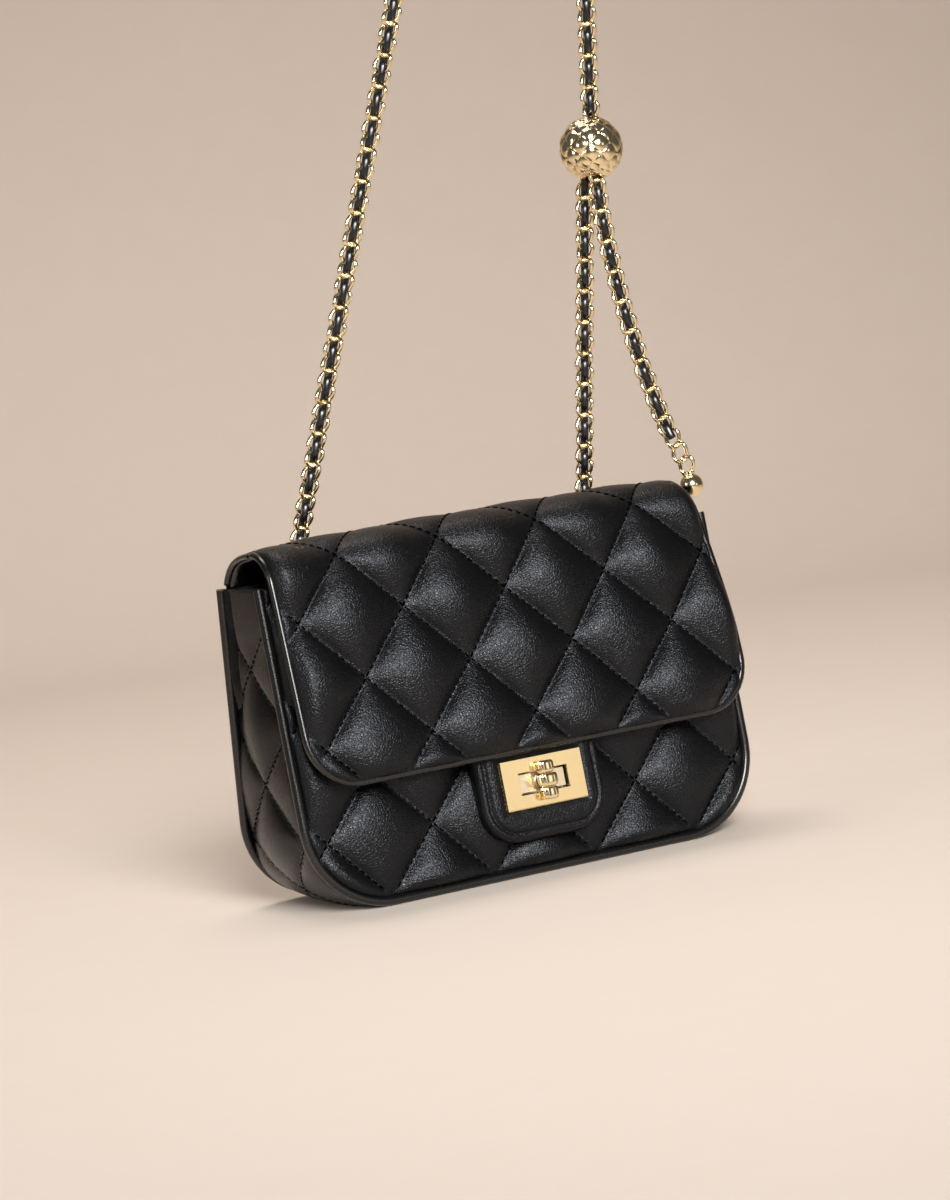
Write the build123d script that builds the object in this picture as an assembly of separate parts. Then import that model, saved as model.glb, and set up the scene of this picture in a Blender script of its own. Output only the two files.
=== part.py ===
from build123d import *
import math
import os

# Quilted flap purse on a laced chain strap. Millimetres, +Z up, -Y is the front.
# The origin is the middle of the flat base.

# ---- body -------------------------------------------------------------------
body_width = 188.0          # outside of the side strip
body_height = 121.0         # base to mouth
depth_bottom = 62.0         # front seam to back seam at the base
depth_top = 34.0            # the same at the mouth
corner_radius = 32.0        # lower corners of the side strip
strip_wall = 2.0            # leather and foam of the side strip
panel_puff = 3.2            # quilting that stands in front of the seam plane
panel_back = 1.0            # panel that lies behind the seam plane
piping_radius = 1.8
piping_overhang = 1.0       # piping proud of the side strip
piping_gap = 0.3            # clearance between piping and panel edge
board_wall = 1.4
lining_wall = 1.0
board_inset = 6.0           # board and lining edge inside the strip's outline
base_board_wall = 1.4
base_board_gap = 6.0        # base board to the corners and to the panels' seams
facing_wall = 1.2
facing_height = 14.0
facing_side_gap = 4.0       # facing to the sides of the lining
facing_drop = 0.6           # facing below the mouth
pocket_height = 60.0
pocket_width = 110.0
pocket_bottom = 25.0
lining_drop = 2.0           # side lining below the mouth
layer_gap = 0.1             # clearance between pieces that only lie together

# ---- flap -------------------------------------------------------------------
flap_width = 183.0
flap_bottom = 48.0          # height of the flap's lower edge
flap_stand_low = 15.55      # flap's seam line in front of the panel's, at its lower edge
flap_stand_high = 7.6       # the same at the crease, in front of the mouth
ridge_rise = 11.5           # seam surface at the hinge line, above the mouth
crease_radius = 13.0
crease_rise = 2.2           # the ridge climbs this much from hinge to crease
hinge_y = 6.0
hinge_gap = 0.4             # between flap and flap root, under the hinge line
flap_corner = 20.0
flap_puff = 2.6
flap_back = 1.0
flap_board_wall = 1.0
flap_lining_wall = 1.0
yoke_radius = 7.5
root_gap = 0.7              # from the mouth up to the flap's root

# ---- lock -------------------------------------------------------------------
lock_height = 34.0          # centre of the lock up the front panel
tab_width = 51.0
tab_low = 13.0              # lower edge of the tab, measured up the panel
tab_high = 62.0             # upper edge, tucked under the flap
tab_corner = 14.0
tab_offset = 5.0            # back of the tab in front of the seam plane
tab_leather = 1.2
tab_foam = 2.9
frame_width = 33.5
frame_height = 18.5
frame_wall = 2.0
frame_back_wall = 0.8
frame_back_inset = 0.75     # backing plate smaller than the frame, all round
frame_chamfer = 0.4
slot_width = 20.5
slot_height = 8.4
slot_gap = 0.8              # clearance between slot and raised block
flange_width = 27.0
flange_height = 14.0
flange_wall = 0.7
block_top = 10.4            # front of the raised block, from the seam plane
post_radius = 1.6
post_gap = 0.06
post_clearance = 0.64       # hole in the leather round the post
washer_width = 23.6
washer_height = 11.6
washer_gap = 0.2            # window in the board round the washer
washer_wall = 0.8
spring_radius = 2.9
spring_wall = 0.5
clip_radius = 2.8
clip_wall = 0.45
knob_gap = 0.4              # lever above the frame
knob_length = 14.5
knob_core = 7.2             # width of the middle of the lever
knob_lobe = 6.2             # width of its ends
knob_thick = 4.6
knob_core_proud = 0.5       # middle of the lever above its ends
knob_core_chamfer = 0.9
knob_lobe_chamfer = 0.7
knob_lobe_corner = 0.8
knob_neck = 4.6             # width between middle and end
knob_neck_length = 1.4
knob_neck_drop = 0.9        # neck below the ends
knob_split = 0.3            # groove between middle and end

# ---- hardware of the strap --------------------------------------------------
strap_diameter = 6.6        # laced chain, over everything
eyelet_x = 62.0
eyelet_drop = 9.0           # eyelets below the mouth
eyelet_hole = 4.4
eyelet_barrel = 5.2
eyelet_flange = 6.4
eyelet_wall = 0.9
eyelet_clearance = 0.4      # hole in the facing round the washer
anchor_drop = 10.5          # bar of the anchor ring below the mouth
anchor_y = 3.0
ring_wire = 1.1
ring_slack = 0.3            # ring wire in its leather loop
ring_corner = 3.0
ring_width = 12.0
ring_reach = 9.5
ring_tilt = 35.0            # degrees above level
tab_loop_wall = 1.5
anchor_tab_width = 8.0
anchor_tab_drop = 16.0
rivet_rise = 5.0            # rivet above the tab's lower end
rivet_shank = 1.2
rivet_head = 2.6
rivet_head_wall = 0.9
ball_radius = 12.5
ball_wall = 1.6
ball_bore = 4.9
grip_inset = 0.2            # grip's bore inside the ball's bore
grip_wall = 0.7
grip_end_gap = 0.75         # grip to the inside of the ball at each end
bead_radius = 4.6
bead_bore = 1.2

# Routes of the two strap ends, chosen by hand, from outside the eyelets on. The through
# strand runs over the carrying loop, through the ball and down to the tail bead.
through_run = [
    (-57.5, 26.6, 125.5), (46.2, -2.6, 450.0), (63.7, -3.4, 460.7), (83.9, -3.2, 457.0),
    (96.4, -1.8, 440.8), (85.4, 12.4, 272.0), (82.6, 9.0, 246.0), (84.5, 10.2, 225.6),
    (88.7, 11.0, 196.4), (97.1, 10.2, 158.3), (101.2, 3.1, 140.6), (102.2, 2.0, 135.0),
]
fixed_run = [(67.0, 26.6, 125.5), (82.6, 18.0, 252.2)]
from_side = [(-15.0, 0.0, 5.0), (-22.5, 1.5, 3.5)]      # from the strip and the anchor's bar
from_eyelet = [(1.5, -9.04, -0.2), (0.0, 7.56, 1.0)]    # from the eyelet's middle
ball_centre = Vector(84.8, 13.4, 264.4)
bead_centre = Vector(102.2, 2.0, 130.4)
bend_share = 0.45           # part of each straight run that its bend may use

# ---- cutting ----------------------------------------------------------------
overcut = 4.0               # how far a cutting tool runs past what it cuts
seam_clearance = 0.05       # strip to piping

# ---- worked out -------------------------------------------------------------
tilt = math.degrees(math.atan((depth_bottom - depth_top) / 2 / body_height))
panel_height = body_height / math.cos(math.radians(tilt))
half_depth = depth_bottom / 2
slope = math.tan(math.radians(tilt))
eyelet_z = body_height - eyelet_drop
anchor_z = body_height - anchor_drop
ridge_height = body_height + ridge_rise
flap_front_low = slope * flap_bottom - half_depth - flap_stand_low
flap_front_high = -depth_top / 2 - flap_stand_high
band_length = depth_bottom + 8 * overcut
piping_half = body_width / 2 + piping_overhang - piping_radius
panel_half = piping_half - piping_radius - piping_gap
panel_low = 2 * piping_radius + piping_gap
inner_half = body_width / 2 - board_inset
board_outer = -panel_back
lining_outer = board_outer - board_wall
facing_outer = lining_outer - lining_wall
band_edge = -piping_radius - seam_clearance
tab_front = tab_offset + 2 * tab_leather + tab_foam
frame_front = tab_front + frame_wall
lever_back = frame_front + knob_gap

front_plane = Plane(
    origin=(0, -half_depth, 0),
    x_dir=(1, 0, 0),
    z_dir=(0, -math.cos(math.radians(tilt)), math.sin(math.radians(tilt))),
)
back_plane = Plane(
    origin=(0, half_depth, 0),
    x_dir=(-1, 0, 0),
    z_dir=(0, math.cos(math.radians(tilt)), math.sin(math.radians(tilt))),
)


def keep(node, *solids):
    """Writes one node, and prints its volume."""
    shape = solids[0] if len(solids) == 1 else Compound(children=list(solids))
    shape.label = node
    export_step(shape, f"parts/{node}.step")
    print(f"{node}: {shape.volume:.0f} mm3")


def pouch(half, low, radius, top):
    """Outline with two rounded lower corners, from low to top."""
    outline = Pos(0, low) * Rectangle(2 * half, top - low, align=(Align.CENTER, Align.MIN))
    corners = outline.vertices().group_by(Axis.Y)[0]
    return fillet(corners, radius)


def layer(plane, outline, near, far):
    """A flat sheet of the outline, between two distances from a panel's seam plane."""
    return extrude(plane.offset(near) * outline, amount=far - near)


def block_behind(plane, distance):
    """Everything within reach behind a distance from a panel's seam plane."""
    slab = Rectangle(4 * body_width, 4 * body_width)
    return extrude(plane.offset(distance) * slab, amount=-2 * band_length)


def band(outer, inner, edge, top):
    """A U-shaped strip between the two panels, cut along their slopes."""
    ring = outer - inner
    strip = extrude(Plane.XZ.offset(-band_length / 2) * ring, amount=band_length)
    strip = strip & block_behind(front_plane, edge) & block_behind(back_plane, edge)
    ceiling = Pos(0, 0, top) * Box(
        4 * body_width, 4 * body_width, body_width, align=(Align.CENTER, Align.CENTER, Align.MIN)
    )
    return strip - ceiling


def piping(plane):
    """A cord of piping along the sides and the bottom of a panel."""
    half = piping_half
    low = piping_radius
    radius = corner_radius - body_width / 2 + half
    points = [(-half, panel_height), (-half, low), (half, low), (half, panel_height)]
    path = FilletPolyline(*points, radius=radius)
    path = plane * path
    start = Plane(origin=path @ 0, z_dir=path % 0)
    return sweep(start * Circle(piping_radius), path=path)


def flap_line(offset):
    """Corner points (y, z) of the flap's seam line, moved outwards by an offset."""
    a = Vector(hinge_y - hinge_gap, ridge_height)
    b = Vector(flap_front_high, ridge_height + crease_rise)
    c = Vector(flap_front_low, flap_bottom)
    top_normal = (b - a).rotate(Axis.Z, -90).normalized()
    front_normal = (c - b).rotate(Axis.Z, -90).normalized()
    half = (top_normal + front_normal).normalized()
    corner = b + half * (offset / half.dot(top_normal))
    return a + top_normal * offset, corner, c + front_normal * offset


def flap_layer(inner, outer):
    """One layer of the flap between two distances from its seam surface."""
    lines = []
    for offset in (inner, outer):
        points = [(p.X, p.Y) for p in flap_line(offset)]
        lines.append(FilletPolyline(*points, radius=crease_radius + offset))
    ends = [Line(lines[0] @ 0, lines[1] @ 0), Line(lines[0] @ 1, lines[1] @ 1)]
    side = make_face([*lines[0].edges(), *lines[1].edges(), *ends])
    return extrude(Plane.YZ.offset(-flap_width / 2) * side, amount=flap_width)


def flap_cutter():
    """Rounds the flap's two lower corners, seen from the front."""
    top = 2 * ridge_height
    outline = Pos(0, flap_bottom - overcut) * Rectangle(
        2 * flap_width, top, align=(Align.CENTER, Align.MIN)
    )
    shape = pouch(flap_width / 2, flap_bottom, flap_corner, top)
    return extrude(Plane.XZ.offset(-2 * depth_bottom) * (outline - shape), amount=4 * depth_bottom)


def yoke_layer(inner, outer):
    """The flap's root: the back panel's top, curling over to the hinge line."""
    lines = []
    for offset in (inner, outer):
        shift = offset / math.cos(math.radians(tilt))
        foot = (half_depth - slope * body_height + shift, body_height + root_gap)
        top = (half_depth - slope * (ridge_height + offset) + shift, ridge_height + offset)
        tip = (hinge_y, ridge_height + offset)
        lines.append(FilletPolyline(foot, top, tip, radius=yoke_radius + offset))
    ends = [Line(lines[0] @ 0, lines[1] @ 0), Line(lines[0] @ 1, lines[1] @ 1)]
    side = make_face([*lines[0].edges(), *lines[1].edges(), *ends])
    return extrude(Plane.YZ.offset(-flap_width / 2) * side, amount=flap_width)


def eyelet_tool(radius, near, far):
    """Cylinders at both eyelets, between two distances from the back seam plane."""
    height = eyelet_z / math.cos(math.radians(tilt))
    spots = Pos(-eyelet_x, height) * Circle(radius) + Pos(eyelet_x, height) * Circle(radius)
    return layer(back_plane, spots, near, far)


def at_lock(shape):
    """Moves a flat shape to the centre of the lock on the front panel."""
    return Pos(0, lock_height) * shape


def strap_start(side):
    """Route points of one strap end, from its anchor ring out through its eyelet."""
    eyelet_y = half_depth - slope * eyelet_z
    inside = [(side * (body_width / 2 + x), anchor_y + y, anchor_z + z) for x, y, z in from_side]
    outside = [(side * (eyelet_x + x), eyelet_y + y, eyelet_z + z) for x, y, z in from_eyelet]
    return inside + outside


def corner_radii(points):
    """Arc radius for each inner point of a route."""
    radii = []
    for before, here, after in zip(points, points[1:], points[2:]):
        arrive = Vector(*here) - Vector(*before)
        leave = Vector(*after) - Vector(*here)
        turn = math.radians(arrive.get_angle(leave))
        radii.append(bend_share * min(arrive.length, leave.length) / math.tan(turn / 2))
    return radii


def strap_tube(name, route):
    """Plain tube along one end of the strap, of straight runs joined by arcs."""
    radii = corner_radii(route)
    path = FilletPolyline(*route, radius=radii)
    start = Plane(origin=path @ 0, z_dir=path % 0)
    tube = sweep(start * Circle(strap_diameter / 2), path=path)
    expected = math.pi * strap_diameter**2 / 4 * path.length
    print(f"{name}: length {path.length:.1f} mm, volume {tube.volume:.0f} of {expected:.0f}")
    print(f"{name}: radii", [round(r, 1) for r in radii])
    return tube


def mirrored(shape):
    """The same piece on the other side of the bag."""
    return mirror(shape, about=Plane.YZ)


os.makedirs("parts", exist_ok=True)

# ---- shell ------------------------------------------------------------------
panel_radius = corner_radius - body_width / 2 + panel_half
panel_outline = pouch(panel_half, panel_low, panel_radius, panel_height)
inner_outline = pouch(inner_half, board_inset, corner_radius - board_inset, panel_height)
strip_outer = pouch(body_width / 2, 0, corner_radius, 2 * body_height)
strip_inner = pouch(body_width / 2 - strip_wall, strip_wall, corner_radius - strip_wall, 3 * body_height)
strip = band(strip_outer, strip_inner, band_edge, body_height)
keep("side_strip", strip)

post_hole = at_lock(Circle(post_radius + post_clearance))
front_panel = layer(front_plane, panel_outline - post_hole, -panel_back, panel_puff)
keep("front_panel", front_panel)
back_panel = layer(back_plane, panel_outline, -panel_back, panel_puff)
back_panel -= eyelet_tool(eyelet_barrel, -panel_back - overcut, panel_puff + overcut)
keep("back_panel", back_panel)
keep("front_piping", piping(front_plane))
keep("back_piping", piping(back_plane))

# ---- stiffening and lining --------------------------------------------------
washer_outline = at_lock(Rectangle(washer_width + 2 * washer_gap, washer_height + 2 * washer_gap))
front_board = layer(front_plane, inner_outline - washer_outline, lining_outer, board_outer)
keep("front_board", front_board)
back_board = layer(back_plane, inner_outline, lining_outer, board_outer)
back_board -= eyelet_tool(eyelet_barrel, lining_outer - overcut, board_outer + overcut)
keep("back_board", back_board)
base_half = body_width / 2 - corner_radius - base_board_gap
base_reach = half_depth - base_board_gap
base_board = Pos(0, 0, strip_wall) * Box(
    2 * base_half, 2 * base_reach, base_board_wall, align=(Align.CENTER, Align.CENTER, Align.MIN)
)
keep("base_board", base_board)
keep("front_lining", layer(front_plane, inner_outline, facing_outer, lining_outer))
back_lining = layer(back_plane, inner_outline, facing_outer, lining_outer)
back_lining -= eyelet_tool(eyelet_barrel, facing_outer - overcut, lining_outer + overcut)
keep("back_lining", back_lining)
lining_low = strip_wall + base_board_wall + layer_gap
lining_half = body_width / 2 - strip_wall
lining_radius = corner_radius - lining_low
lining_inner = pouch(
    lining_half - lining_wall, lining_low + lining_wall, lining_radius - lining_wall, 3 * body_height
)
side_lining = band(
    pouch(lining_half, lining_low, lining_radius, 2 * body_height),
    lining_inner,
    facing_outer - layer_gap,
    body_height - lining_drop,
)
keep("side_lining", side_lining)

facing_outline = Pos(0, panel_height - facing_height / 2 - facing_drop) * Rectangle(
    2 * (inner_half - facing_side_gap), facing_height
)
keep("front_facing", layer(front_plane, facing_outline, facing_outer - facing_wall, facing_outer))
back_facing = layer(back_plane, facing_outline, facing_outer - facing_wall, facing_outer)
facing_hole = eyelet_flange + eyelet_clearance
back_facing -= eyelet_tool(facing_hole, facing_outer - overcut, facing_outer + overcut)
keep("back_facing", back_facing)
pocket_outline = Pos(0, pocket_bottom + pocket_height / 2) * Rectangle(pocket_width, pocket_height)
keep("slip_pocket", layer(back_plane, pocket_outline, facing_outer - facing_wall, facing_outer))

# ---- flap and its root ------------------------------------------------------
keep("flap_root", yoke_layer(-flap_back, flap_puff))
keep("flap_root_lining", yoke_layer(-flap_back - flap_lining_wall, -flap_back))
cutter = flap_cutter()
keep("flap_outer", flap_layer(-flap_back, flap_puff) - cutter)
board_inner = -flap_back - flap_board_wall
keep("flap_board", flap_layer(board_inner, -flap_back) - cutter)
keep("flap_lining", flap_layer(board_inner - flap_lining_wall, board_inner) - cutter)

# ---- lock tab on the flap ---------------------------------------------------
slot = at_lock(Rectangle(slot_width, slot_height))
tab_outline = pouch(tab_width / 2, tab_low, tab_corner, tab_high)
tab_window = tab_outline - slot
tab_core = tab_offset + tab_leather
keep("lock_tab_back", layer(front_plane, tab_window, tab_offset, tab_core))
keep("lock_tab_core", layer(front_plane, tab_window, tab_core, tab_core + tab_foam))
keep("lock_tab_front", layer(front_plane, tab_window, tab_core + tab_foam, tab_front))
frame_outline = at_lock(Rectangle(frame_width, frame_height))
lock_frame = layer(front_plane, frame_outline - slot, tab_front, frame_front)
lock_frame = chamfer(lock_frame.faces().sort_by(Axis.Y)[0].outer_wire().edges(), frame_chamfer)
keep("lock_frame", lock_frame)
backing = Rectangle(frame_width - 2 * frame_back_inset, frame_height - 2 * frame_back_inset)
backing = at_lock(backing) - slot
keep("lock_frame_back", layer(front_plane, backing, tab_offset - frame_back_wall, tab_offset))

# ---- turning lock on the body -----------------------------------------------
post_bore = at_lock(Circle(post_radius + post_gap))
flange_front = panel_puff + flange_wall
flange = layer(front_plane, at_lock(Rectangle(flange_width, flange_height)), panel_puff, flange_front)
block_outline = at_lock(Rectangle(slot_width - 2 * slot_gap, slot_height - 2 * slot_gap))
raised = layer(front_plane, block_outline, flange_front, block_top)
lock_base = flange + raised - layer(front_plane, post_bore, panel_puff - overcut, block_top + overcut)
keep("lock_base", lock_base)
washer = at_lock(Rectangle(washer_width, washer_height)) - post_bore
keep("lock_washer", layer(front_plane, washer, lining_outer, lining_outer + washer_wall))
spring = at_lock(Circle(spring_radius)) - post_bore
keep("knob_spring", layer(front_plane, spring, block_top, block_top + spring_wall))

lever_front = lever_back + knob_thick
lobe_height = knob_length / 3
core = at_lock(Rectangle(knob_core, lobe_height))
lever = layer(front_plane, core, lever_back, lever_front + knob_core_proud)
lever = chamfer(lever.faces().sort_by(Axis.Y)[0].edges(), knob_core_chamfer)
for side in (-1, 1):
    middle = side * (knob_length - lobe_height) / 2
    end_shape = RectangleRounded(knob_lobe, lobe_height - knob_split, knob_lobe_corner)
    lobe_outline = at_lock(Pos(0, middle) * end_shape)
    lobe = layer(front_plane, lobe_outline, lever_back, lever_front)
    lobe = chamfer(lobe.faces().sort_by(Axis.Y)[0].edges(), knob_lobe_chamfer)
    neck = at_lock(Pos(0, middle - side * lobe_height / 2) * Rectangle(knob_neck, knob_neck_length))
    lever += lobe + layer(front_plane, neck, lever_back, lever_front - knob_neck_drop)
keep("knob_lever", lever)
post_end = lining_outer + layer_gap
keep("knob_post", layer(front_plane, at_lock(Circle(post_radius)), post_end, lever_back))
clip = at_lock(Circle(clip_radius) - Circle(post_radius))
clip_back = lining_outer + washer_wall + post_gap
keep("knob_clip", layer(front_plane, clip, clip_back, clip_back + clip_wall))

# ---- eyelets and anchors ----------------------------------------------------
barrel = eyelet_tool(eyelet_barrel, facing_outer, panel_puff)
flange_ring = eyelet_tool(eyelet_flange, panel_puff, panel_puff + eyelet_wall)
eyelets = barrel + flange_ring - eyelet_tool(eyelet_hole, facing_outer - overcut, panel_puff + overcut)
keep("eyelets", *eyelets.solids())
backs = eyelet_tool(eyelet_flange, facing_outer - eyelet_wall, facing_outer)
backs -= eyelet_tool(eyelet_hole, facing_outer - overcut, facing_outer + overcut)
keep("eyelet_washers", *backs.solids())

wall_x = body_width / 2 - strip_wall - lining_wall
bar_radius = ring_wire + ring_slack
loop_outer = bar_radius + tab_loop_wall
bar_x = wall_x - loop_outer
loop = Circle(loop_outer) - Circle(bar_radius)
loop_plane = Plane(origin=(bar_x, anchor_y + anchor_tab_width / 2, anchor_z), z_dir=(0, -1, 0))
tab_loop = extrude(loop_plane * loop, amount=anchor_tab_width)
tab_leaf = Pos(wall_x - tab_loop_wall / 2, anchor_y, anchor_z - anchor_tab_drop / 2) * Box(
    tab_loop_wall, anchor_tab_width, anchor_tab_drop
)
rivet_z = anchor_z - anchor_tab_drop + rivet_rise
rivet_hole = Pos(wall_x, anchor_y, rivet_z) * Rot(0, 90, 0) * Cylinder(rivet_shank, 2 * overcut)
anchor_tab = tab_loop + (tab_leaf - rivet_hole)
keep("anchor_tabs", anchor_tab, mirrored(anchor_tab))
head_x = wall_x - tab_loop_wall
rivet = Pos(head_x, anchor_y, rivet_z) * Rot(0, -90, 0) * Cylinder(
    rivet_head, rivet_head_wall, align=(Align.CENTER, Align.CENTER, Align.MIN)
)
rivet += Pos(head_x, anchor_y, rivet_z) * Rot(0, 90, 0) * Cylinder(
    rivet_shank, tab_loop_wall, align=(Align.CENTER, Align.CENTER, Align.MIN)
)
keep("anchor_rivets", rivet, mirrored(rivet))
reach_x = -math.cos(math.radians(ring_tilt))
reach_z = math.sin(math.radians(ring_tilt))
ring_plane = Plane(
    origin=(bar_x, anchor_y, anchor_z),
    x_dir=(0, 1, 0),
    z_dir=Vector(0, 1, 0).cross(Vector(reach_x, 0, reach_z)),
)
ring_shape = Pos(0, ring_reach / 2) * RectangleRounded(ring_width, ring_reach, ring_corner)
ring_path = ring_plane * ring_shape.wire()
ring_start = Plane(origin=ring_path @ 0, z_dir=ring_path % 0)
anchor_ring = sweep(ring_start * Circle(ring_wire), path=ring_path)
keep("anchor_rings", anchor_ring, mirrored(anchor_ring))

# ---- strap, ball and bead ---------------------------------------------------
through_route = strap_start(-1) + through_run
fixed_route = strap_start(1) + fixed_run
keep("strap_through", strap_tube("strap_through", through_route))
keep("strap_fixed", strap_tube("strap_fixed", fixed_route))
ball_axis = Plane(origin=ball_centre, z_dir=Vector(*through_route[9]) - Vector(*through_route[10]))
ball_hole = ball_axis * Cylinder(ball_bore, 4 * ball_radius)
ball = ball_axis * Sphere(ball_radius) - ball_axis * Sphere(ball_radius - ball_wall) - ball_hole
keep("slider_ball", ball)
grip_bore = ball_bore - grip_inset
grip_length = 2 * math.sqrt((ball_radius - ball_wall) ** 2 - ball_bore**2) - 2 * grip_end_gap
grip = ball_axis * Cylinder(grip_bore + grip_wall + grip_inset, grip_length)
grip -= ball_axis * Cylinder(grip_bore, grip_length + overcut)
keep("slider_grip", grip)
bead = Pos(bead_centre) * Sphere(bead_radius) - Pos(bead_centre) * Cylinder(bead_bore, 4 * bead_radius)
keep("tail_bead", bead)
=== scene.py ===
"""Dresses a small quilted flap purse on a laced chain strap around its CAD frame."""

from __future__ import annotations

import logging
import math
from dataclasses import dataclass, field
from enum import Enum
from typing import Callable, Iterable, Sequence

import bmesh
import bpy
import numpy as np
from mathutils import Matrix, Vector


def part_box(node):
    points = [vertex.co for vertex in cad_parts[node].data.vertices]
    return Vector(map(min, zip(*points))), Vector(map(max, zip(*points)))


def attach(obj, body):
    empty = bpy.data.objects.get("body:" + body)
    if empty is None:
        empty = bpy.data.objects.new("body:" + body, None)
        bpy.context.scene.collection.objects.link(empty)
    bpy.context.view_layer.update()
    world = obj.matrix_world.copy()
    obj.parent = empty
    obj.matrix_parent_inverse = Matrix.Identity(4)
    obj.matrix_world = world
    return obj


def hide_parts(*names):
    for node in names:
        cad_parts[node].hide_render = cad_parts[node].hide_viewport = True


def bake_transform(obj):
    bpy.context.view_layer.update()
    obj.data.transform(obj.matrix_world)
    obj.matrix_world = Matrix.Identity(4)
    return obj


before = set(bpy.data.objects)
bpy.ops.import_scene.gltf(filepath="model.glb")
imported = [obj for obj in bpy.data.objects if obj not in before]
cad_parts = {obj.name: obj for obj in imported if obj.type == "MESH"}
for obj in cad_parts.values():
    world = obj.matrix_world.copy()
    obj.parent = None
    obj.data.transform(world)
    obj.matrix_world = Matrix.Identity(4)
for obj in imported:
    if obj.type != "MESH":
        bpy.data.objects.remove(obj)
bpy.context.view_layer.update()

LOG = logging.getLogger("purse")
MM = 0.001
# Thickness of the quilting thread, and how far it stands on the leather, in millimetres.
THREAD_THICK = 0.75
THREAD_LIFT = 0.12
# How far the piping stands outside the side strip, and how far leather tucks under it, in millimetres.
PIPE_STANDS_OUT = 1.0
TUCK = 0.5
# How far the grain's cells wander from a regular pattern, in metres.
GRAIN_WANDER = 0.0007
Point = tuple[float, float, float]
Array = np.ndarray
Faces = list[tuple[int, ...]]


class Body(str, Enum):
    """The rigid bodies of the frame."""

    BAG = "bag"
    FLAP = "flap"
    KNOB = "knob"


class Slot(str, Enum):
    """Names of the record's material slots."""

    QUILTED = "quilted_leather"
    PEBBLED = "pebbled_leather"
    SMOOTH = "smooth_leather"
    LINING = "lining_cloth"
    GILT = "gilt_metal"
    CHAIN = "laced_chain"


# ---- materials ---------------------------------------------------------------


def linear(hex_colour: str) -> tuple[float, float, float, float]:
    """Turns an sRGB hex colour into a linear colour.

    Args:
        hex_colour: Six hex digits, such as "c8a45a".

    Returns:
        Red, green, blue and alpha, linear.
    """
    channels = [int(hex_colour[i : i + 2], 16) / 255 for i in (0, 2, 4)]
    return tuple(c / 12.92 if c <= 0.04045 else ((c + 0.055) / 1.055) ** 2.4 for c in channels) + (1.0,)


def add_node(tree: bpy.types.NodeTree, kind: str, links: dict | None = None, **settings) -> bpy.types.Node:
    """Adds one shader node with its settings and links.

    Args:
        tree: The material's node tree.
        kind: The node's type, without the "ShaderNode" in front.
        links: Input name or number to a socket, or to a constant value.
        settings: Properties of the node itself.

    Returns:
        The new node.
    """
    node = tree.nodes.new("ShaderNode" + kind)
    for name, value in settings.items():
        setattr(node, name, value)
    for key, value in (links or {}).items():
        if isinstance(value, bpy.types.NodeSocket):
            tree.links.new(value, node.inputs[key])
        else:
            node.inputs[key].default_value = value
    return node


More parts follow.
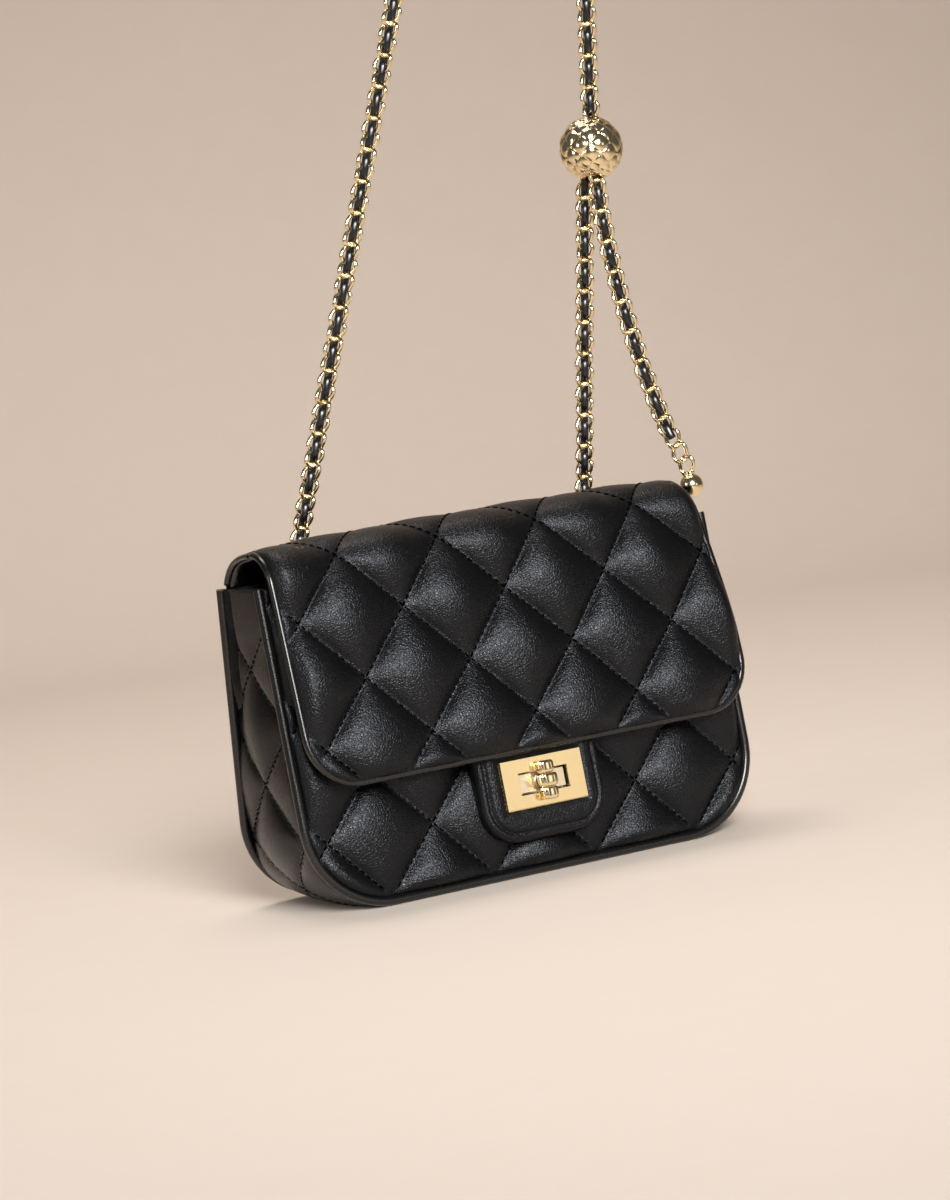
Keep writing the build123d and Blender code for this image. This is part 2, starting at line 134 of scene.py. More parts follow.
@dataclass(frozen=True)
class Finish:
    """A surface finish, with its shader built from real sizes.

    Attributes:
        name: The maker's name for the material.
        colour: Base colour, sRGB hex.
        shade: Second colour for slow variation, sRGB hex.
        rough: Lowest roughness.
        rough_more: What the pattern adds to the roughness.
        metallic: 1 for metals.
        coat: Weight of a clear coat.
        grain_mm: Width of one grain cell, or 0 for none.
        grain_deep_mm: Depth of the grain.
        weave_mm: Distance between threads, or 0 for none.
        specular: Specular level of the shader.
        sheen: Tint of the reflections, sRGB hex.
    """

    name: str
    colour: str
    shade: str
    rough: float
    rough_more: float = 0.1
    metallic: float = 0.0
    coat: float = 0.0
    grain_mm: float = 0.0
    grain_deep_mm: float = 0.1
    weave_mm: float = 0.0
    specular: float = 0.45
    sheen: str = "ffffff"

    def build(self) -> bpy.types.Material:
        """Makes the material the first time it is asked for.

        Returns:
            The material.
        """
        known = bpy.data.materials.get(self.name)
        if known:
            return known
        made = bpy.data.materials.new(self.name)
        made.use_nodes = True
        tree = made.node_tree
        shader = tree.nodes["Principled BSDF"]
        place = add_node(tree, "TexCoord").outputs["Object"]
        slow = add_node(tree, "TexNoise", {"Vector": place, "Scale": 45.0, "Detail": 3.0}).outputs["Fac"]
        tint = add_node(
            tree,
            "MixRGB",
            {"Fac": slow, "Color1": linear(self.colour), "Color2": linear(self.shade)},
        )
        tree.links.new(tint.outputs["Color"], shader.inputs["Base Color"])
        shader.inputs["Metallic"].default_value = self.metallic
        shader.inputs["Coat Weight"].default_value = self.coat
        shader.inputs["Coat Roughness"].default_value = 0.12
        shader.inputs["Specular IOR Level"].default_value = self.specular
        shader.inputs["Specular Tint"].default_value = linear(self.sheen)
        height = self._height(tree, place)
        pattern = height if height is not None else slow
        rough = add_node(
            tree,
            "MapRange",
            {"Value": pattern, "To Min": self.rough + self.rough_more, "To Max": self.rough},
        )
        tree.links.new(rough.outputs["Result"], shader.inputs["Roughness"])
        if height is not None:
            bump = add_node(
                tree,
                "Bump",
                {"Height": height, "Distance": self.grain_deep_mm * MM, "Strength": 1.0},
            )
            tree.links.new(bump.outputs["Normal"], shader.inputs["Normal"])
        return made

    def _height(self, tree: bpy.types.NodeTree, place: bpy.types.NodeSocket) -> bpy.types.NodeSocket | None:
        """The height of the grain or the weave.

        Args:
            tree: The material's node tree.
            place: Object coordinates, in metres.

        Returns:
            A socket from 0 in the creases to 1 on top, or None for a plain surface.
        """
        if self.grain_mm:
            wander = add_node(tree, "TexNoise", {"Vector": place, "Scale": 900.0, "Detail": 2.0})
            drift = {0: wander.outputs["Color"], 1: (GRAIN_WANDER,) * 3}
            shift = add_node(tree, "VectorMath", drift, operation="MULTIPLY")
            moved = add_node(tree, "VectorMath", {0: place, 1: shift.outputs[0]}, operation="ADD")
            cells = add_node(
                tree,
                "TexVoronoi",
                {"Vector": moved.outputs[0], "Scale": 1 / (self.grain_mm * MM)},
                feature="DISTANCE_TO_EDGE",
            )
            crown = add_node(tree, "MapRange", {"Value": cells.outputs["Distance"], "From Max": 0.32})
            crown.interpolation_type = "SMOOTHSTEP"
            fine = add_node(tree, "TexNoise", {"Vector": place, "Scale": 2600.0, "Detail": 2.0})
            mixed = add_node(tree, "Math", {0: fine.outputs["Fac"], 1: 0.25, 2: crown.outputs["Result"]})
            mixed.operation = "MULTIPLY_ADD"
            return mixed.outputs[0]
        if self.weave_mm:
            threads = []
            for axis in ("X", "Z"):
                wave = add_node(
                    tree,
                    "TexWave",
                    {"Vector": place, "Scale": 1 / (self.weave_mm * MM) / 20 * math.pi},
                    bands_direction=axis,
                )
                threads.append(wave.outputs["Fac"])
            cloth = add_node(tree, "Math", {0: threads[0], 1: threads[1]}, operation="MULTIPLY")
            return cloth.outputs[0]
        return None


# Drummed calf-look leather, coated and pressed with a fine pebble: satin, broken highlights.
PEBBLED = Finish("pebbled_black_leather", "060607", "0a0a0b", 0.3, 0.12, grain_mm=1.0, grain_deep_mm=0.08,
                 specular=0.33, sheen="e4e8f2")
# The same hide on the side strip, stretched smoother: clearer reflections along the folds.
STRIP = Finish("smooth_side_leather", "060606", "0a0909", 0.23, 0.1, grain_mm=0.8, grain_deep_mm=0.015,
               specular=0.28, sheen="e4e8f2")
# Glazed lining leather: a gloss that shows as a thin bright line at each edge.
GLAZED = Finish("glazed_black_leather", "070707", "0c0b0b", 0.22, 0.1, coat=0.3, grain_mm=0.6,
                grain_deep_mm=0.01)
# Waxed lace cut from the hide: glossy black strip with slight streaks.
LACE = Finish("waxed_leather_lace", "08080a", "101013", 0.22, 0.12, coat=0.3)
# Bonded polyester thread, waxed black and quite matt.
THREAD = Finish("bonded_polyester_thread", "010101", "020202", 0.95, specular=0.02)
# Zinc alloy, polished and plated pale gold, with warm reflections.
GILT = Finish("pale_gold_plated_zinc", "fdecc6", "f6dfae", 0.14, 0.05, metallic=1.0)
# The lock's flat faces, polished in one direction and lacquered: wide soft reflections.
GILT_FLAT = Finish("lacquered_gold_plate", "f8e2b4", "f2d8a2", 0.22, 0.06, metallic=1.0)
# The raised block behind the slot, brushed nickel-gold: paler than the plate.
GILT_PALE = Finish("brushed_pale_gold_plate", "f6ead0", "efdfbd", 0.25, 0.08, metallic=1.0)
# Nickel-plated steel of the hidden backing pieces.
NICKEL = Finish("nickel_plated_steel", "b8b6b0", "a9a7a2", 0.25, metallic=1.0)
# Twill lining cloth, black, with threads drawn at their real spacing.
TWILL = Finish("black_twill_lining", "151516", "1c1c1e", 0.8, weave_mm=0.5, grain_deep_mm=0.1)
# Grey fibre board, hidden between the leathers.
BOARD = Finish("grey_fibre_board", "6a6560", "5c5853", 0.85)
# Silicone sleeve inside the sliding ball.
SILICONE = Finish("black_silicone_rubber", "101010", "161616", 0.6)


# ---- mesh helpers ------------------------------------------------------------


def make_mesh(name: str, points: Array, faces: Iterable[Sequence[int]], finish: Finish) -> bpy.types.Object:
    """Makes a smooth-shaded mesh object.

    Args:
        name: The piece's name.
        points: Corner points in metres, one row each.
        faces: Corner numbers of each face.
        finish: The surface finish.

    Returns:
        The new object, linked to the scene.
    """
    mesh = bpy.data.meshes.new(name)
    mesh.from_pydata([tuple(map(float, p)) for p in points], [], [tuple(map(int, f)) for f in faces])
    work = bmesh.new()
    work.from_mesh(mesh)
    bmesh.ops.recalc_face_normals(work, faces=work.faces)
    work.to_mesh(mesh)
    work.free()
    mesh.materials.append(finish.build())
    mesh.polygons.foreach_set("use_smooth", [True] * len(mesh.polygons))
    made = bpy.data.objects.new(name, mesh)
    bpy.context.collection.objects.link(made)
    return made


def settle(piece: bpy.types.Object, body: Body, slot: Slot, *nodes: str) -> bpy.types.Object:
    """Rides a piece on a body and hides the CAD nodes that it stands for.

    Args:
        piece: The new piece.
        body: The body that it moves with.
        slot: Not used.
        nodes: CAD nodes that it replaces.

    Returns:
        The piece.
    """
    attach(piece, body.value)
    if nodes:
        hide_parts(*nodes)
    LOG.info("%s rides on %s", piece.name, body.value)
    return piece


def grid_faces(rows: int, columns: int, first: int = 0, closed: bool = False) -> Faces:
    """Quads of a grid of points numbered row by row.

    Args:
        rows: Number of rows.
        columns: Points in a row.
        first: Number of the first point.
        closed: Whether each row joins its own start.

    Returns:
        Corner numbers of each quad.
    """
    last = columns if closed else columns - 1
    faces = []
    for i in range(rows - 1):
        for j in range(last):
            k = (j + 1) % columns
            near, far = first + i * columns, first + (i + 1) * columns
            faces.append((near + j, near + k, far + k, far + j))
    return faces


def thick_sheet(name: str, outer: Array, inner: Array, finish: Finish) -> bpy.types.Object:
    """A closed sheet between an outer and an inner grid of the same shape.

    Args:
        name: The piece's name.
        outer: Points as rows x columns x 3, in metres.
        inner: The same for the other side.
        finish: The surface finish.

    Returns:
        The closed piece.
    """
    rows, columns = outer.shape[:2]
    count = rows * columns
    points = np.concatenate([outer.reshape(-1, 3), inner.reshape(-1, 3)])
    faces = grid_faces(rows, columns)
    faces += [tuple(reversed(f)) for f in grid_faces(rows, columns, count)]
    rim = list(range(columns))
    rim += [i * columns + columns - 1 for i in range(1, rows)]
    rim += [(rows - 1) * columns + j for j in range(columns - 2, -1, -1)]
    rim += [i * columns for i in range(rows - 2, 0, -1)]
    for a, b in zip(rim, rim[1:] + rim[:1]):
        faces.append((b, a, a + count, b + count))
    return make_mesh(name, points, faces, finish)


def frames_along(path: Array, facing: Array) -> tuple[Array, Array, Array]:
    """Tangent, side and front directions along a path.

    Args:
        path: Points, one row each.
        facing: The direction that the front should turn to.

    Returns:
        Three arrays of unit vectors.
    """
    tangent = np.gradient(path, axis=0)
    tangent /= np.linalg.norm(tangent, axis=1, keepdims=True)
    front = facing - tangent * (tangent @ facing)[:, None]
    front /= np.linalg.norm(front, axis=1, keepdims=True)
    return tangent, np.cross(tangent, front), front


def tube(name: str, path: Array, radius: float, finish: Finish, sides: int = 10, closed: bool = False,
         flat: float = 1.0, facing: Sequence[float] = (0.0, -1.0, 0.05)) -> bpy.types.Object:
    """A tube along a path, with rounded section and closed ends.

    Args:
        name: The piece's name.
        path: Points in metres, one row each.
        radius: Half its width.
        finish: The surface finish.
        sides: Corners of the section.
        closed: Whether the path joins its own start.
        flat: Depth of the section over its width.
        facing: The direction of the section's depth.

    Returns:
        The new piece.
    """
    points, faces = tube_parts(path, radius, sides, closed, flat, facing)
    return make_mesh(name, points, faces, finish)


def tube_parts(path: Array, radius: float, sides: int, closed: bool, flat: float,
               facing: Sequence[float]) -> tuple[Array, Faces]:
    """Points and faces of a tube; the arguments are those of tube().

    Args:
        path: Points in metres, one row each.
        radius: Half its width.
        sides: Corners of the section.
        closed: Whether the path joins its own start.
        flat: Depth of the section over its width.
        facing: The direction of the section's depth.

    Returns:
        Points and faces.
    """
    tangent, side, front = frames_along(path, np.array(facing, float))
    if closed:
        step = np.roll(path, -1, axis=0) - np.roll(path, 1, axis=0)
        tangent = step / np.linalg.norm(step, axis=1, keepdims=True)
        look = np.array(facing, float)
        front = look - tangent * (tangent @ look)[:, None]
        front /= np.linalg.norm(front, axis=1, keepdims=True)
        side = np.cross(tangent, front)
    turns = np.linspace(0, 2 * math.pi, sides, endpoint=False)
    cosines, sines = np.cos(turns)[None, :, None], np.sin(turns)[None, :, None]
    ring = cosines * side[:, None, :] + flat * sines * front[:, None, :]
    points = (path[:, None, :] + radius * ring).reshape(-1, 3)
    faces = grid_faces(len(path), sides, closed=True)
    if closed:
        last = (len(path) - 1) * sides
        faces += [(last + j, last + (j + 1) % sides, (j + 1) % sides, j) for j in range(sides)]
    else:
        faces.append(tuple(range(sides - 1, -1, -1)))
        faces.append(tuple(range((len(path) - 1) * sides, len(path) * sides)))
    return points, faces


def joined(parts: Iterable[tuple[Array, Faces]]) -> tuple[Array, Faces]:
    """Puts several meshes' points and faces together.

    Args:
        parts: Points and faces of each.

    Returns:
        Points and faces of all.
    """
    points, faces, first = [], [], 0
    for some_points, some_faces in parts:
        points.append(some_points)
        faces += [tuple(k + first for k in f) for f in some_faces]
        first += len(some_points)
    return np.concatenate(points), faces


# ---- the quilting ------------------------------------------------------------


@dataclass(frozen=True)
class Quilting:
    """Diamond quilting, in millimetres on the flat leather.

    Attributes:
        across: Width of a diamond.
        down: Height of a diamond.
        middle: Place across of one stitch crossing.
        level: Place up of the same crossing.
        puff: How far the middle of a diamond stands out.
        stitch_pitch: Distance between stitches.
        stitch_long: Length of the thread that shows.
        dome: Steepness of the pillows; smaller is steeper at the seams.
        pucker: Depth of the pull of each stitch.
        slack: Share by which the pillows differ from each other.
    """

    across: float = 42.9
    down: float = 47.0
    middle: float = 0.6
    level: float = 0.0
    puff: float = 5.0
    stitch_pitch: float = 3.1
    stitch_long: float = 2.3
    dome: float = 0.62
    pucker: float = 0.22
    slack: float = 0.06

    def height(self, x: Array, v: Array) -> Array:
        """How far the leather stands out at points of the flat panel.

        Args:
            x: Places across.
            v: Places up.

        Returns:
            Heights.
        """
        p = (x - self.middle) / self.across
        q = (v - self.level) / self.down
        slope = math.hypot(self.across, self.down)
        narrow = self.across * self.down / slope / math.pi
        fullness = np.ones_like(p)
        pulled = np.zeros_like(p)
        for sign in (1, -1):
            near = np.abs(np.sin(math.pi * (p + sign * q)))
            fullness = fullness * (np.sqrt(near**2 + 0.0009) - 0.03)
            along = (x * self.across - sign * v * self.down) / slope
            beat = 0.5 + 0.5 * np.cos(2 * math.pi * along / self.stitch_pitch)
            pulled = pulled + self.pucker * np.exp(-((near * narrow / 1.7) ** 2)) * beat
        across = np.sin(x / 7.3 + 1.3 * np.sin(v / 11.0))
        upward = np.sin(v / 6.1 + 1.7 * np.sin(x / 13.0))
        soft = 1 + self.slack * (across + upward)
        return self.puff * fullness**self.dome * soft - pulled

    def stitches(
        self, inside: Callable[[Array, Array], Array], low: float, high: float, wide: float
    ) -> Array:
        """Middles and directions of the stitches inside an outline.

        Args:
            inside: Tells which places lie inside the outline.
            low: Lowest place.
            high: Highest place.
            wide: Half the width of the area.

        Returns:
            One row for each stitch: across, up, and its direction.
        """
        rows = []
        slope = math.hypot(self.across, self.down)
        direction = np.array([self.across, self.down]) / slope
        for sign in (1, -1):
            reach = int(2 * (wide / self.across + (high - low) / self.down)) + 2
            for k in range(-reach, reach + 1):
                start = np.array([self.middle + k * self.across, self.level])
                steps = np.arange(-400.0, 400.0, self.stitch_pitch) + self.stitch_pitch / 2
                heading = direction * np.array([1, sign])
                places = start + steps[:, None] * heading
                keep = inside(places[:, 0], places[:, 1])
                rows += [(*place, *heading) for place in places[keep]]
        return np.array(rows)


def thread_mesh(
    middles: Array, headings: Array, outward: Array, long: float, thick: float
) -> tuple[Array, Faces]:
    """Short humped stitches of thread.

    Args:
        middles: Middle of each stitch, in metres.
        headings: Unit direction of each.
        outward: Unit direction out of the leather at each.
        long: Length of a stitch, in metres.
        thick: Thickness of the thread, in metres.

    Returns:
        Points and faces.
    """
    along = np.array([-0.5, -0.38, 0.0, 0.38, 0.5]) * long
    swell = np.array([0.25, 0.8, 1.0, 0.8, 0.25]) * thick / 2
    lift = np.array([-0.35, 0.05, 0.15, 0.05, -0.35]) * thick
    rings, sides = len(along), 6
    each = rings * sides
    turns = np.linspace(0, 2 * math.pi, sides, endpoint=False)
    cosines, sines = np.cos(turns)[None, :, None], np.sin(turns)[None, :, None]
    side = np.cross(headings, outward)
    parts = []
    for a, s, h in zip(along, swell, lift):
        centre = middles[:, None] + a * headings[:, None] + h * outward[:, None]
        parts.append(centre + s * (cosines * side[:, None] + sines * outward[:, None]))
    points = np.stack(parts, axis=1).reshape(-1, 3)
    single = grid_faces(rings, sides, closed=True)
    single += [tuple(range(sides - 1, -1, -1)), tuple(range(each - sides, each))]
    faces = [tuple(k + each * i for k in f) for i in range(len(middles)) for f in single]
    return points, faces


def sew(
    name: str,
    rows: Array,
    place: Callable[[Array, Array, Array], Array],
    surface: Callable[[Array, Array], Array],
    long: float,
) -> bpy.types.Object:
    """Lays thread along the stitches of a quilted piece.

    Args:
        name: The thread's name.
        rows: One row for each stitch: across, up, and its direction.
        place: Turns places and heights into points.
        surface: Height of the leather at places.
        long: Length of thread that shows, in millimetres.

    Returns:
        The thread.
    """
    x, v, dx, dv = rows.T
    height = surface(x, v) + THREAD_LIFT
    middles = place(x, v, height)
    ahead = place(x + 0.5 * dx, v + 0.5 * dv, height) - middles
    out = place(x, v, height + 1) - middles
    headings = ahead / np.linalg.norm(ahead, axis=1, keepdims=True)
    out /= np.linalg.norm(out, axis=1, keepdims=True)
    points, faces = thread_mesh(middles, headings, out, long * MM, THREAD_THICK * MM)
    return make_mesh(name, points, faces, THREAD)


# ---- shape of the bag --------------------------------------------------------


@dataclass(frozen=True)
class Shell:
    """Sizes of the purse's body, in millimetres.

    Attributes:
        half: Half the outside width of the side strip.
        top: Height of the mouth.
        foot: Half the depth between the seams at the base.
        brow: Half the depth between the seams at the mouth.
        corner: Radius of the lower corners.
        pipe: Radius of the piping.
    """

    half: float = 94.0
    top: float = 121.0
    foot: float = 31.0
    brow: float = 17.0
    corner: float = 32.0
    pipe: float = 1.8

    @classmethod
    def of_frame(cls) -> Shell:
        """Takes the width and the height from the frame's side strip.

        Returns:
            The sizes.
        """
        _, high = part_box("side_strip")
        return cls(half=round(high.x / MM, 1), top=round(high.z / MM, 1))

    @property
    def tilt(self) -> float:
        """Slope of the panels from upright.

        Returns:
            An angle in radians.
        """
        return math.atan((self.foot - self.brow) / self.top)

    def front(self, x: Array, v: Array, out: Array) -> Array:
        """Points in front of the front seam plane.

        Args:
            x: Places across, in millimetres.
            v: Places up the panel.
            out: Distances in front of the plane.

        Returns:
            Points in metres.
        """
        c, s = math.cos(self.tilt), math.sin(self.tilt)
        x, v, out = np.broadcast_arrays(x, v, out)
        return np.stack([x, -self.foot + s * v - c * out, c * v + s * out], axis=-1) * MM

    def back(self, x: Array, v: Array, out: Array) -> Array:
        """The same for the back panel, behind the back seam plane.

        Args:
            x: Places across, in millimetres.
            v: Places up the panel.
            out: Distances behind the plane.

        Returns:
            Points in metres.
        """
        return self.front(x, v, out) * np.array([1, -1, 1])


def pouch_half(v: Array, half: float, low: float, corner: float) -> Array:
    """Half the width, at a height, of an outline with two rounded lower corners.

    Args:
        v: Heights.
        half: Half the full width.
        low: Lowest height.
        corner: Radius of the corners.

    Returns:
        Half widths.
    """
    sunk = np.clip(corner - (v - low), 0, corner)
    return half - corner + np.sqrt(np.maximum(corner**2 - sunk**2, 0))


def edge_distance(x: Array, v: Array, half: float, low: float, high: float, corner: float) -> Array:
    """Distance inwards from the sides and bottom of a pouch outline.

    Args:
        x: Places across.
        v: Places up.
        half: Half the full width.
        low: Lowest height.
        high: Height of the upper edge, which counts too.
        corner: Radius of the corners.

    Returns:
        Distances, 0 on the outline.
    """
    dx, dv = half - np.abs(x), v - low
    in_corner = (dx < corner) & (dv < corner)
    round_part = corner - np.hypot(corner - dx, corner - dv)
    plain = np.minimum(dx, dv)
    return np.maximum(np.minimum(np.where(in_corner, round_part, plain), high - v), 0)


def shoulder(distance: Array, width: float) -> Array:
    """A rounded rise from 0 at an edge to 1 at a distance from it.

    Args:
        distance: Distances from the edge.
        width: Where the rise ends.

    Returns:
        Values from 0 to 1.
    """
    t = np.clip(distance / width, 0, 1)
    return np.sqrt(np.maximum(1 - (1 - t) ** 2, 0))


@dataclass
class QuiltedPanel:
    """A quilted front or back panel.

    Attributes:
        name: The piece's name.
        node: The CAD node it stands for.
        quilting: Its stitch pattern.
        place: Turns panel places into points.
        shell: The body's sizes.
        step: Distance between mesh points, in millimetres.
        sink: How far the stitch lines stand in front of the seam plane.
        pressed: Half width, bottom, top and greatest height of areas under the lock.
    """

    name: str
    node: str
    quilting: Quilting
    place: Callable[[Array, Array, Array], Array]
    shell: Shell
    step: float = 0.9
    sink: float = 0.3
    pressed: tuple[tuple[float, float, float, float], ...] = ()

    @property
    def half(self) -> float:
        """Half the width inside the piping.

        Returns:
            A size in millimetres.
        """
        return self.shell.half + PIPE_STANDS_OUT - 2 * self.shell.pipe + TUCK

    def surface(self, x: Array, v: Array) -> Array:
        """Heights of the quilted leather.

        Args:
            x: Places across.
            v: Places up.

        Returns:
            Distances from the seam plane.
        """
        low = 2 * self.shell.pipe - TUCK
        edge = edge_distance(x, v, self.half, low, 500.0, self.shell.corner - low)
        puffed = self.sink + self.quilting.height(x, v)
        for half, bottom, top, room in self.pressed:
            away = np.maximum(np.abs(x) - half, np.maximum(bottom - v, v - top))
            ceiling = room + 2.0 * np.clip(away, 0, 4)
            puffed = np.minimum(puffed, ceiling)
        return -0.6 + shoulder(edge, 5.0) * (0.6 + puffed)

    def build(self) -> bpy.types.Object:
        """Makes the panel and its stitches.

        Returns:
            The panel.
        """
        low, high = 2 * self.shell.pipe - TUCK, self.shell.top / math.cos(self.shell.tilt)
        rows = int((high - low) / self.step)
        columns = int(2 * self.half / self.step)
        bend = (1 - np.cos(np.linspace(0, math.pi, rows))) / 2
        v = low + (high - low) * (0.75 * np.linspace(0, 1, rows) + 0.25 * bend)
        wide = pouch_half(v, self.half, low, self.shell.corner - low)
        x = np.linspace(-1, 1, columns)[None, :] * wide[:, None]
        v = np.broadcast_to(v[:, None], x.shape)
        outer = self.place(x, v, self.surface(x, v))
        inner = self.place(x, v, np.full_like(x, -1.0))
        panel = thick_sheet(self.name, outer, inner, PEBBLED)
        settle(panel, Body.BAG, Slot.QUILTED, self.node)
        self.sew(low, high)
        return panel

    def sew(self, low: float, high: float) -> None:
        """Adds the quilting thread.

        Args:
            low: Lowest place of the panel.
            high: Highest place.
        """

        def inside(x: Array, v: Array) -> Array:
            """Tells which places lie on the panel, clear of its edge.

            Args:
                x: Places across.
                v: Places up.

            Returns:
                Whether each does.
            """
            edge = edge_distance(x, v, self.half, low, high, self.shell.corner - low)
            return edge > 2.0

        rows = self.quilting.stitches(inside, low, high, self.half)
        thread = sew(self.name + "_stitching", rows, self.place, self.surface, self.quilting.stitch_long)
        settle(thread, Body.BAG, Slot.QUILTED)


@dataclass
class Flap:
    """The quilted flap, one hide from the back seam over the ridge to the lock.

    Attributes:
        shell: The body's sizes.
        half: Half its width.
        corner: Radius of its lower corners.
        quilting: Its stitch pattern, measured along the hide.
        taper: Share of its width that the hide loses towards the ridge.
        slip: How far its upper part has slipped to one side.
        ridge: Height of the hinge line.
        hinge: Distance of the hinge line behind the middle.
        crease: Side profile's corner at the front of the ridge, as depth and height.
        hem: Side profile's lower end.
        back_knee: Side profile's corner at the back of the ridge.
        back_foot: Side profile's end at the back seam.
        step: Distance between mesh points.
        line: Points of the side profile, evenly spaced.
        normal: Its outward directions at those points.
        length: Its length.
    """

    shell: Shell
    half: float = 91.5
    corner: float = 19.0
    taper: float = 0.04
    slip: float = 3.6
    ridge: float = 135.1
    hinge: float = 6.0
    crease: tuple[float, float] = (-24.4, 138.2)
    hem: tuple[float, float] = (-41.0, 48.0)
    back_knee: tuple[float, float] = (10.6, 133.4)
    back_foot: tuple[float, float] = (16.9, 121.8)
    step: float = 0.9
    quilting: Quilting = field(default_factory=lambda: Quilting(middle=-20.4, level=37.0, puff=6.2))
    line: Array = field(init=False)
    normal: Array = field(init=False)
    length: float = field(init=False)

    def __post_init__(self) -> None:
        """Works out the side profile of the hide, from its lower edge up and over to the back."""
        corners = [self.hem, self.crease, self.back_knee, self.back_foot]
        radii = [16.0, 24.0]
        points = [np.array(corners[0], float)]
        for before, here, after, radius in zip(corners, corners[1:], corners[2:], radii):
            points += self._round(*(np.array(p, float) for p in (before, here, after)), radius)
        points.append(np.array(corners[-1], float))
        dense = np.array(points)
        run = np.concatenate([[0], np.cumsum(np.linalg.norm(np.diff(dense, axis=0), axis=1))])
        self.length = float(run[-1])
        even = np.linspace(0, self.length, 400)
        line = np.stack([np.interp(even, run, dense[:, k]) for k in (0, 1)], axis=1)
        for _ in range(6):
            line[1:-1] = (line[:-2] + line[1:-1] + line[2:]) / 3
        slope = np.gradient(line, axis=0)
        slope /= np.linalg.norm(slope, axis=1, keepdims=True)
        self.line = line
        self.normal = np.stack([-slope[:, 1], slope[:, 0]], axis=1)

    @staticmethod
    def _round(before: Array, here: Array, after: Array, radius: float) -> list[Array]:
        """Points of the arc that rounds one corner.

        Args:
            before: The point before the corner.
            here: The corner.
            after: The point after it.
            radius: The arc's radius.

        Returns:
            Points from one tangent point to the other.
        """
        arrive = (here - before) / np.linalg.norm(here - before)
        leave = (after - here) / np.linalg.norm(after - here)
        turn = math.acos(float(np.clip(arrive @ leave, -1, 1)))
        cut = radius * math.tan(turn / 2)
        first, last = here - arrive * cut, here + leave * cut
        centre = first + radius * np.array([arrive[1], -arrive[0]])
        if np.linalg.norm(centre - last) > radius * 1.01:
            centre = first - radius * np.array([arrive[1], -arrive[0]])
        sign = math.copysign(1, arrive[0] * leave[1] - arrive[1] * leave[0])
        spoke = first - centre
        arc = []
        for t in np.linspace(0, turn, 24):
            c, s = math.cos(sign * t), math.sin(sign * t)
            arc.append(centre + np.array([c * spoke[0] - s * spoke[1], s * spoke[0] + c * spoke[1]]))
        return arc

    def place(self, x: Array, s: Array, out: Array) -> Array:
        """Points over the hide.

        Args:
            x: Places across.
            s: Places along the hide, 0 at the lower edge.
            out: Distances outside the seam surface.

        Returns:
            Points in metres.
        """
        x, s, out = np.broadcast_arrays(x, s, out)
        even = np.linspace(0, self.length, len(self.line))
        y = np.interp(s, even, self.line[:, 0])
        z = np.interp(s, even, self.line[:, 1])
        ny = np.interp(s, even, self.normal[:, 0])
        nz = np.interp(s, even, self.normal[:, 1])
        on_top = np.clip((s - 70) / 25, 0, 1) * np.clip((self.length - s) / 20, 0, 1)
        sag = -(0.2 + 1.3 * np.abs(x / self.half) ** 3) * on_top
        upper = np.clip((s - 30) / 60, 0, 1) ** 1.3
        slipped = x * (1 - self.taper * upper) - self.slip * upper
        return np.stack([slipped, y + ny * out, z + nz * out + sag], axis=-1) * MM

    def surface(self, x: Array, s: Array) -> Array:
        """Heights of the quilted leather over the seam surface.

        Args:
            x: Places across.
            s: Places along the hide.

        Returns:
            Distances outwards.
        """
        edge = edge_distance(x, s, self.half, 0.0, self.length + 8, self.corner)
        tight = 1 - 0.8 * np.clip((s - 70) / 26, 0, 1)
        return -0.9 + shoulder(edge, 6.0) * (0.9 + tight * self.quilting.height(x, s))

    def outline(self, inset: float, out: float) -> Array:
        """A path along the two sides and the lower edge.

        Args:
            inset: Distance inside the edge.
            out: Distance outside the seam surface.

        Returns:
            Points in metres, from the back on one side to the back on the other.
        """
        half, corner = self.half - inset, self.corner - inset
        turn = np.linspace(0, math.pi / 2, 14)[1:-1]
        down = np.arange(self.length - 2, self.corner, -2.0)
        left = [(-half, s) for s in down] + [(-half, self.corner)]
        left += [(-half + corner * (1 - math.cos(t)), self.corner - corner * math.sin(t)) for t in turn]
        bottom = [(x, inset) for x in np.linspace(-half + corner, half - corner, 60)]
        places = np.array(left + bottom + [(-x, s) for x, s in reversed(left)])
        return self.place(places[:, 0], places[:, 1], np.full(len(places), out))

    def build(self) -> None:
        """Makes the hide, its turned edge, its stitches and its lining."""
        rows, columns = int(self.length / self.step), int(2 * self.half / self.step)
        s = np.linspace(0, 1, rows) ** 1.03 * self.length
        wide = pouch_half(s, self.half, 0.0, self.corner)
        x = np.linspace(-1, 1, columns)[None, :] * wide[:, None]
        s = np.broadcast_to(s[:, None], x.shape)
        outer = self.place(x, s, self.surface(x, s))
        inner = self.place(x, s, np.full_like(x, -1.9))
        hide = thick_sheet("flap_quilted_hide", outer, inner, PEBBLED)
        self._bend(hide, Slot.QUILTED, "flap_outer", "flap_root", "flap_board")
        edge = tube("flap_turned_edge", self.outline(0.3, -1.3), 1.5 * MM, GLAZED, 10, flat=0.9)
        self._bend(edge, Slot.SMOOTH)
        self._line()
        self._sew()

    def _bend(self, piece: bpy.types.Object, slot: Slot, *nodes: str) -> None:
        """Bakes the transform of a piece of the flap into its mesh and hides the CAD nodes that it stands
        for.

        Args:
            piece: The piece.
            slot: Not used.
            nodes: CAD nodes that it replaces.
        """
        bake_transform(piece)
        if nodes:
            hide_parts(*nodes)
        LOG.info("%s bends from bag to flap", piece.name)

